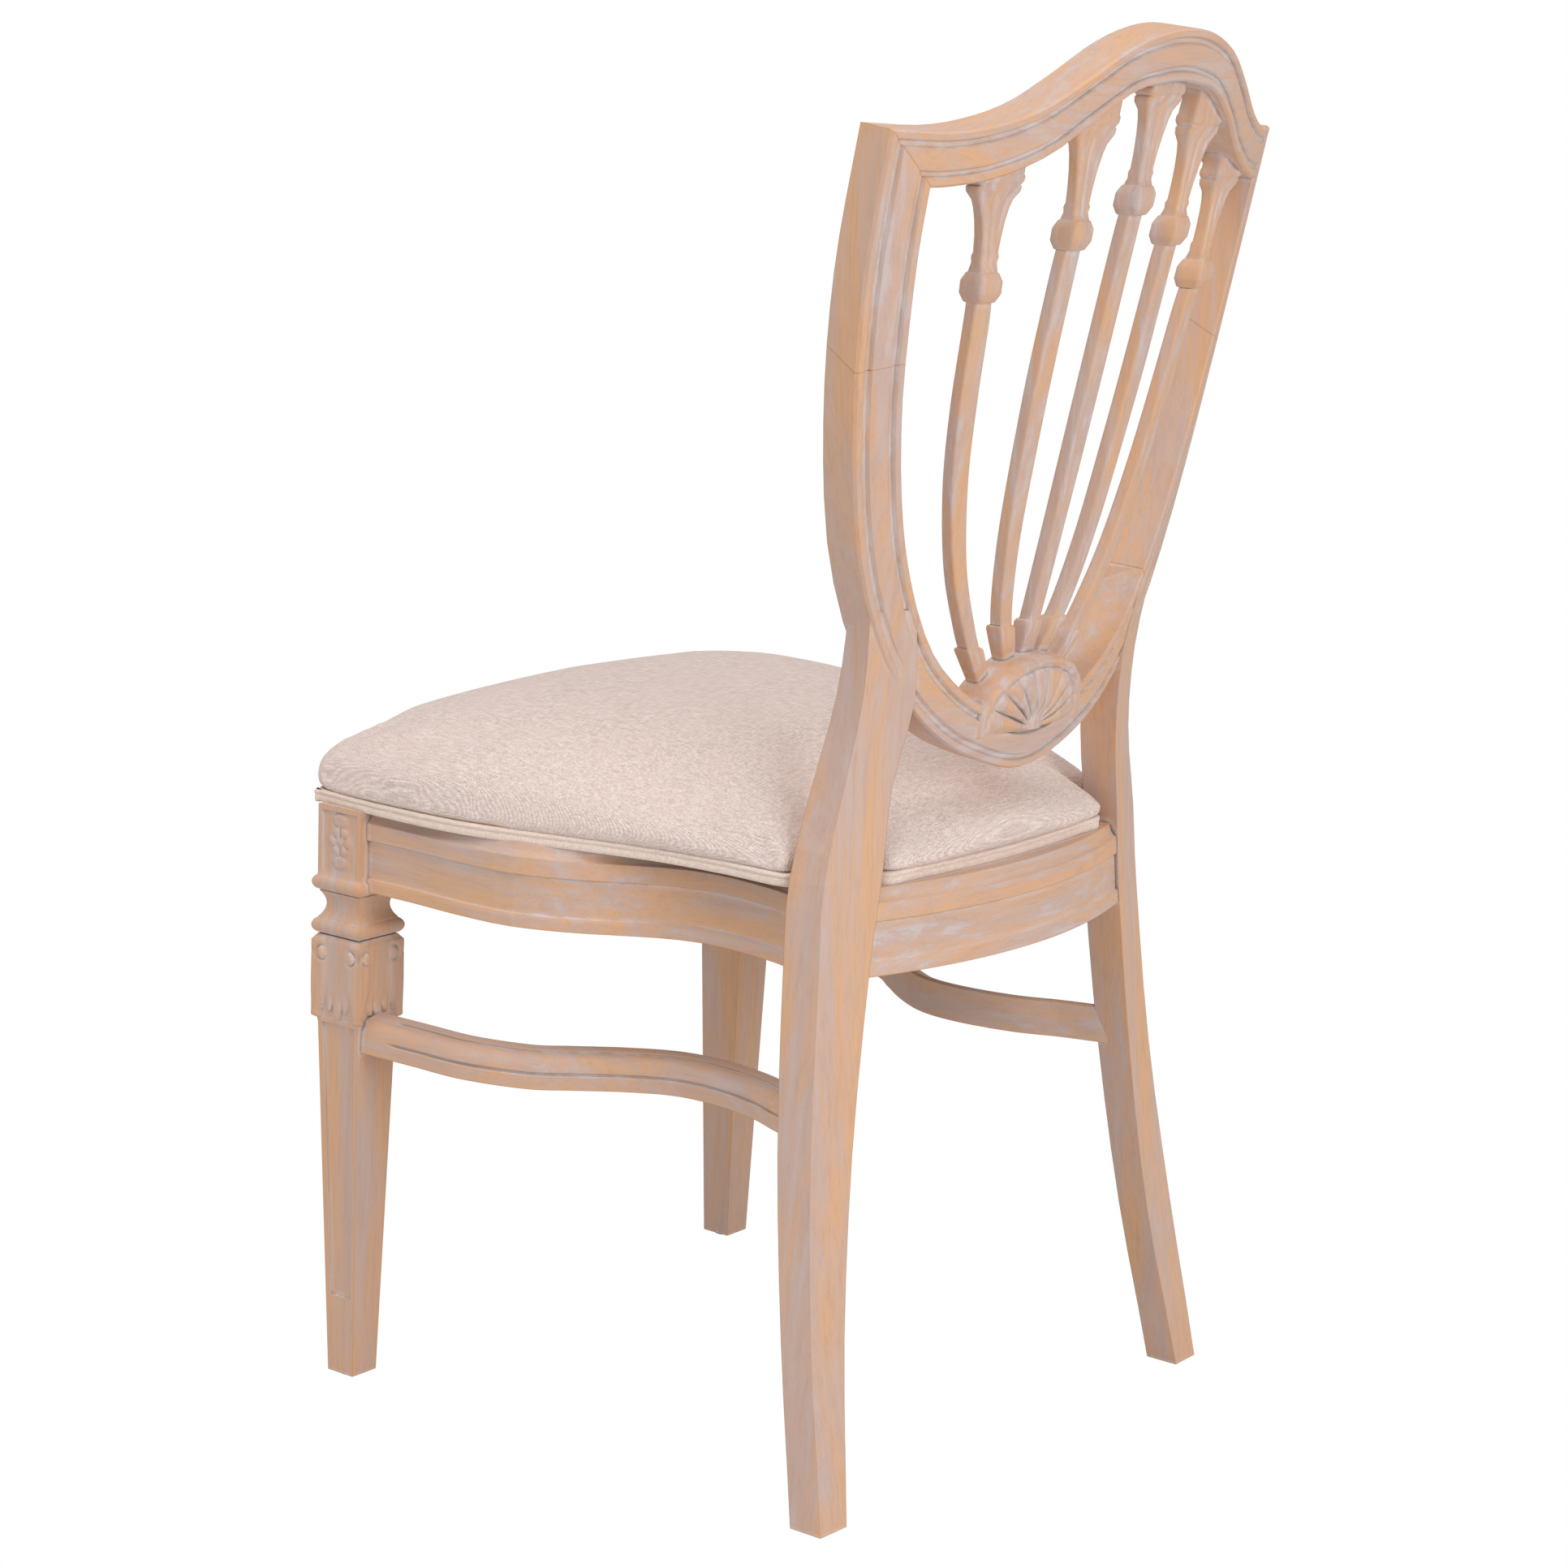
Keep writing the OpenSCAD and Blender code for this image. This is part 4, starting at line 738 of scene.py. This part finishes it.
def moulded_stretcher(name, node, mirror):
    steps, near = 150, 0.02
    rings = []
    for k in range(steps + 1):
        u = (len(STRETCH_PATH) - 3) * k / steps
        x, y = stretch_place(u)
        x0, y0 = stretch_place(u - near)
        x1, y1 = stretch_place(u + near)
        length = math.hypot(x1 - x0, y1 - y0)
        worked = ease((y - STRETCH_FRONT[1] - PLAIN_END) / STOP_LENGTH)
        ring = []
        for inward, down, depth in STRETCH_SECTION:
            reach = inward + depth * worked
            drop = down + (depth * worked * 0.8 if inward > ON_TOP else 0)
            ring.append((mirror * (x - (y1 - y0) / length * reach), y + (x1 - x0) / length * reach,
                         STRETCH_TOP - drop))
        rings.append(ring)
    piece = rings_solid(name, rings)
    if mirror > 0:
        piece.data.flip_normals()
    piece.data.set_sharp_from_angle(angle=math.radians(35))
    dress(piece, beech_deep)
    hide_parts(node)
    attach(piece, "root")


moulded_stretcher("moulded_stretcher_left", "stretcher_left", 1)
moulded_stretcher("moulded_stretcher_right", "stretcher_right", -1)


# ---- the seat pad: a stuffed cover over the board, with a piped band round the board's edge ----
PAD_MIDDLE = (0.0, -53.85)
# the seat falls towards the back rail, from the rear of the front legs' blocks
SEAT_FALL, FALL_FROM = 5.0 / 420, LEG_Y + BLOCK_HALF


def seat_plane(y):
    """Height of the rails' tops, and of the board's underside, at a place front to back."""
    return RAIL_TOP - SEAT_FALL * (y - FALL_FROM)


def outline_of(node, low):
    """The outer outline of an upright CAD wall, with its lowest or highest places, degree by degree."""
    spots = {}
    for v in nodes[node].data.vertices:
        p = nodes[node].matrix_world @ v.co * MM
        turn = round(math.degrees(math.atan2(p.y - PAD_MIDDLE[1], p.x - PAD_MIDDLE[0])), 0)
        far = math.hypot(p.x - PAD_MIDDLE[0], p.y - PAD_MIDDLE[1])
        spots.setdefault(turn, []).append((far, p))
    wall = 0.8
    ring = []
    for turn in sorted(spots):
        reach = max(far for far, p in spots[turn])
        outer = [p for far, p in spots[turn] if far > reach - wall]
        ring.append(min(outer, key=lambda p: p.z if low else -p.z))
    return ring


def smooth_ring(ring, parts):
    """A closed smooth curve through the ring's places."""
    count = len(ring)
    made = []
    for i in range(count):
        four = [ring[(i + k - 1) % count] for k in range(4)]
        made += [between(*four, k / parts) for k in range(parts)]
    return made


# how far out from the board's edge and how far up: the flat band, and the piping above it
BAND_SECTION = [(-5, -1.9), (-0.4, -2.0), (0.1, -1.5), (0.3, 0.2), (0.3, 2.6), (-0.2, 3.1),
                (-0.1, 3.5), (0.5, 4.0), (0.8, 4.9), (0.6, 5.8), (-0.1, 6.4), (-0.8, 6.8), (-5, 6.9)]


def edge_band():
    ring = smooth_ring(outline_of("board_wrap", True), 4)
    count = len(ring)
    points = []
    faces = []
    rows = len(BAND_SECTION)
    for i, p in enumerate(ring):
        ahead = (ring[(i + 1) % count] - ring[i - 1]).normalized()
        out = Vector((ahead.y, -ahead.x, 0))
        for reach, rise in BAND_SECTION:
            points.append((p.x + out.x * reach, p.y + out.y * reach, p.z + rise))
    for i in range(count):
        for k in range(rows):
            a, b = i * rows + k, i * rows + (k + 1) % rows
            c, d = ((i + 1) % count) * rows + (k + 1) % rows, ((i + 1) % count) * rows + k
            faces.append((a, d, c, b))
    piece = mesh_piece("edge_band", points, faces)
    dress(piece, band_cloth)
    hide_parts("board_wrap")
    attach(piece, "root")


edge_band()


def evaluated_mesh(piece):
    shape = piece.evaluated_get(bpy.context.evaluated_depsgraph_get())
    return bpy.data.meshes.new_from_object(shape)


# sizes of the pad's making, in metres
VOXEL, MOST_MOVE, PIN_HEIGHT = 0.0055, 0.004, 0.006
FOOT_HEIGHT, FOOT_OUT, FOOT_DOWN, FREE_UNDERSIDE = 0.014, 0.0028, 0.0022, 0.1
CLOTH_FRAMES = 20
# height of the board's top at the front blocks' rear, and where that is
BOARD_TOP, BOARD_FROM = 0.4250, -0.2057


def above_board(p):
    """Height in metres above the board's top."""
    return p.z - (BOARD_TOP - SEAT_FALL * (p.y - BOARD_FROM))


def blow_up(piece, rest):
    """Lets the pad's filling press its cover out, held at the board, as far as MOST_MOVE."""
    held = piece.vertex_groups.new(name="held at the board")
    for index, p in enumerate(rest):
        held.add([index], clip(1 - above_board(p) / PIN_HEIGHT), "REPLACE")
    cloth = piece.modifiers.new("cover", "CLOTH")
    settings = cloth.settings
    settings.quality = 5
    settings.mass = 0.3
    settings.tension_stiffness = 25
    settings.compression_stiffness = 25
    settings.bending_stiffness = 4
    settings.use_pressure = True
    settings.uniform_pressure_force = 4
    settings.vertex_group_mass = held.name
    settings.effector_weights.gravity = 0
    cloth.point_cache.frame_start = 1
    cloth.point_cache.frame_end = CLOTH_FRAMES
    for step in range(1, CLOTH_FRAMES + 1):
        bpy.context.scene.frame_set(step)
    blown = evaluated_mesh(piece)
    piece.modifiers.clear()
    for vertex, start, end in zip(piece.data.vertices, rest, blown.vertices):
        move = end.co - start
        if move.length > MOST_MOVE:
            move *= MOST_MOVE / move.length
        vertex.co = start + move
    bpy.context.scene.frame_set(1)


def stuffed_pad():
    """The cover: the foam's shape, evened out, blown up a little and drawn over the band."""
    source = nodes["seat_foam"]
    mesh = source.data.copy()
    mesh.transform(source.matrix_world)
    piece = bpy.data.objects.new("pad", mesh)
    bpy.context.scene.collection.objects.link(piece)
    even = piece.modifiers.new("even mesh", "REMESH")
    even.mode = "VOXEL"
    even.voxel_size = VOXEL
    soften = piece.modifiers.new("soften", "SMOOTH")
    soften.iterations = 6
    soften.factor = 0.5
    piece.data = evaluated_mesh(piece)
    piece.modifiers.clear()
    rest = [v.co.copy() for v in piece.data.vertices]
    blow_up(piece, rest)
    for vertex in piece.data.vertices:
        p = vertex.co
        rise = above_board(p)
        near = clip(1 - rise / FOOT_HEIGHT)
        outward = Vector((p.x - PAD_MIDDLE[0] / MM, p.y - PAD_MIDDLE[1] / MM, 0))
        if rise > 0 or outward.length > FREE_UNDERSIDE:
            vertex.co = p + outward.normalized() * (FOOT_OUT * near) - Vector((0, 0, FOOT_DOWN * near))
    piece.data.polygons.foreach_set("use_smooth", [True] * len(piece.data.polygons))
    finer = piece.modifiers.new("finer", "SUBSURF")
    finer.levels = 1
    finer.render_levels = 1
    dress(piece, cover_cloth)
    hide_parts("seat_cover", "seat_foam")
    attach(piece, "root")


stuffed_pad()


def dust_sheet():
    """The black cloth below the board, a little wavy, with its measures taken from its outline."""
    ring = outline_of("dust_cover", False)
    count = len(ring)
    centre = Vector((*PAD_MIDDLE, sum(p.z for p in ring) / count))
    rings = 24
    lift, wave_h = 0.45, 0.16
    points = [tuple(centre)]
    faces = []
    for k in range(1, rings + 1):
        share = k / rings
        for p in ring:
            q = centre.lerp(p, share)
            wave = wave_h * math.sin(q.x * 0.11 + q.y * 0.05) * math.sin(q.y * 0.13)
            points.append((q.x, q.y, seat_plane(q.y) + lift + wave * (1 - share)))
    for i in range(count):
        j = (i + 1) % count
        faces.append((0, 1 + i, 1 + j))
        for k in range(rings - 1):
            a, b = 1 + k * count + i, 1 + k * count + j
            faces.append((a, a + count, b + count, b))
    piece = mesh_piece("dust_sheet", points, faces)
    dress(piece, dust_black)
    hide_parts("dust_cover")
    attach(piece, "root")


dust_sheet()


# ---- the studio: a white sweep, soft light and the camera ----
def white_floor():
    """A floor that takes light as paper does, and is plain white where the camera sees it."""
    half = 6000
    points = [(-half, -half, 0), (half, -half, 0), (half, half, 0), (-half, half, 0)]
    floor = mesh_piece("floor", points, [(0, 1, 2, 3)], smooth=False)
    material, tree, shader = new_material("white floor")
    shader.inputs["Base Color"].default_value = (0.8, 0.8, 0.8, 1)
    shader.inputs["Roughness"].default_value = 0.9
    glow = add(tree, "ShaderNodeEmission", Color=(1, 1, 1, 1), Strength=1.0)
    choice = tree.nodes.new("ShaderNodeMixShader")
    seen = tree.nodes.new("ShaderNodeLightPath")
    link(tree, seen.outputs["Is Camera Ray"], choice.inputs[0])
    link(tree, shader.outputs["BSDF"], choice.inputs[1])
    link(tree, glow.outputs["Emission"], choice.inputs[2])
    link(tree, choice.outputs["Shader"], tree.nodes["Material Output"].inputs["Surface"])
    floor.data.materials.append(material)


WORLD_COLOUR, WORLD_STRENGTH = (1.0, 0.985, 0.97, 1), 0.6


def white_world():
    """Soft light all round, plain white where the camera sees it."""
    world = bpy.data.worlds.new("studio")
    world.use_nodes = True
    tree = world.node_tree
    light = tree.nodes["Background"]
    light.inputs["Color"].default_value = WORLD_COLOUR
    light.inputs["Strength"].default_value = WORLD_STRENGTH
    backdrop = add(tree, "ShaderNodeBackground", Color=(1, 1, 1, 1), Strength=1.0)
    choice = tree.nodes.new("ShaderNodeMixShader")
    seen = tree.nodes.new("ShaderNodeLightPath")
    link(tree, seen.outputs["Is Camera Ray"], choice.inputs[0])
    link(tree, light.outputs["Background"], choice.inputs[1])
    link(tree, backdrop.outputs["Background"], choice.inputs[2])
    link(tree, choice.outputs["Shader"], tree.nodes["World Output"].inputs["Surface"])
    bpy.context.scene.world = world


CHAIR_MIDDLE = (0, 0, 0.5)


def soft_box(name, place, size, power):
    """A square area light that faces the chair's middle."""
    lamp = bpy.data.lights.new(name, "AREA")
    lamp.shape = "SQUARE"
    lamp.size = size
    lamp.energy = power
    holder = bpy.data.objects.new(name, lamp)
    bpy.context.scene.collection.objects.link(holder)
    holder.location = place
    holder.rotation_euler = (Vector(CHAIR_MIDDLE) - Vector(place)).to_track_quat("-Z", "Y").to_euler()


# the camera that was fitted to the photo: its place, its lens and its own axes
CAMERA_PLACE, CAMERA_LENS, SENSOR = (2.0754, 1.55455, 0.9781), 86.53, 36
CAMERA_RIGHT = (-0.6100, 0.7915, 0.0366)
CAMERA_UP = (-0.1407, -0.1537, 0.9780)
CAMERA_BACK = (0.7798, 0.5915, 0.2051)


def studio_camera():
    camera = bpy.data.cameras.new("camera")
    camera.lens = CAMERA_LENS
    camera.sensor_width = SENSOR
    holder = bpy.data.objects.new("camera", camera)
    bpy.context.scene.collection.objects.link(holder)
    turn = Matrix((CAMERA_RIGHT, CAMERA_UP, CAMERA_BACK)).transposed()
    holder.matrix_world = Matrix.Translation(CAMERA_PLACE) @ turn.to_4x4()
    bpy.context.scene.camera = holder


white_floor()
white_world()
soft_box("key light", (1.2, 0.0, 3.3), 2.2, 42)
soft_box("fill light", (0.7, 3.0, 1.5), 2.0, 37)
studio_camera()
bpy.context.scene.view_settings.view_transform = "Standard"
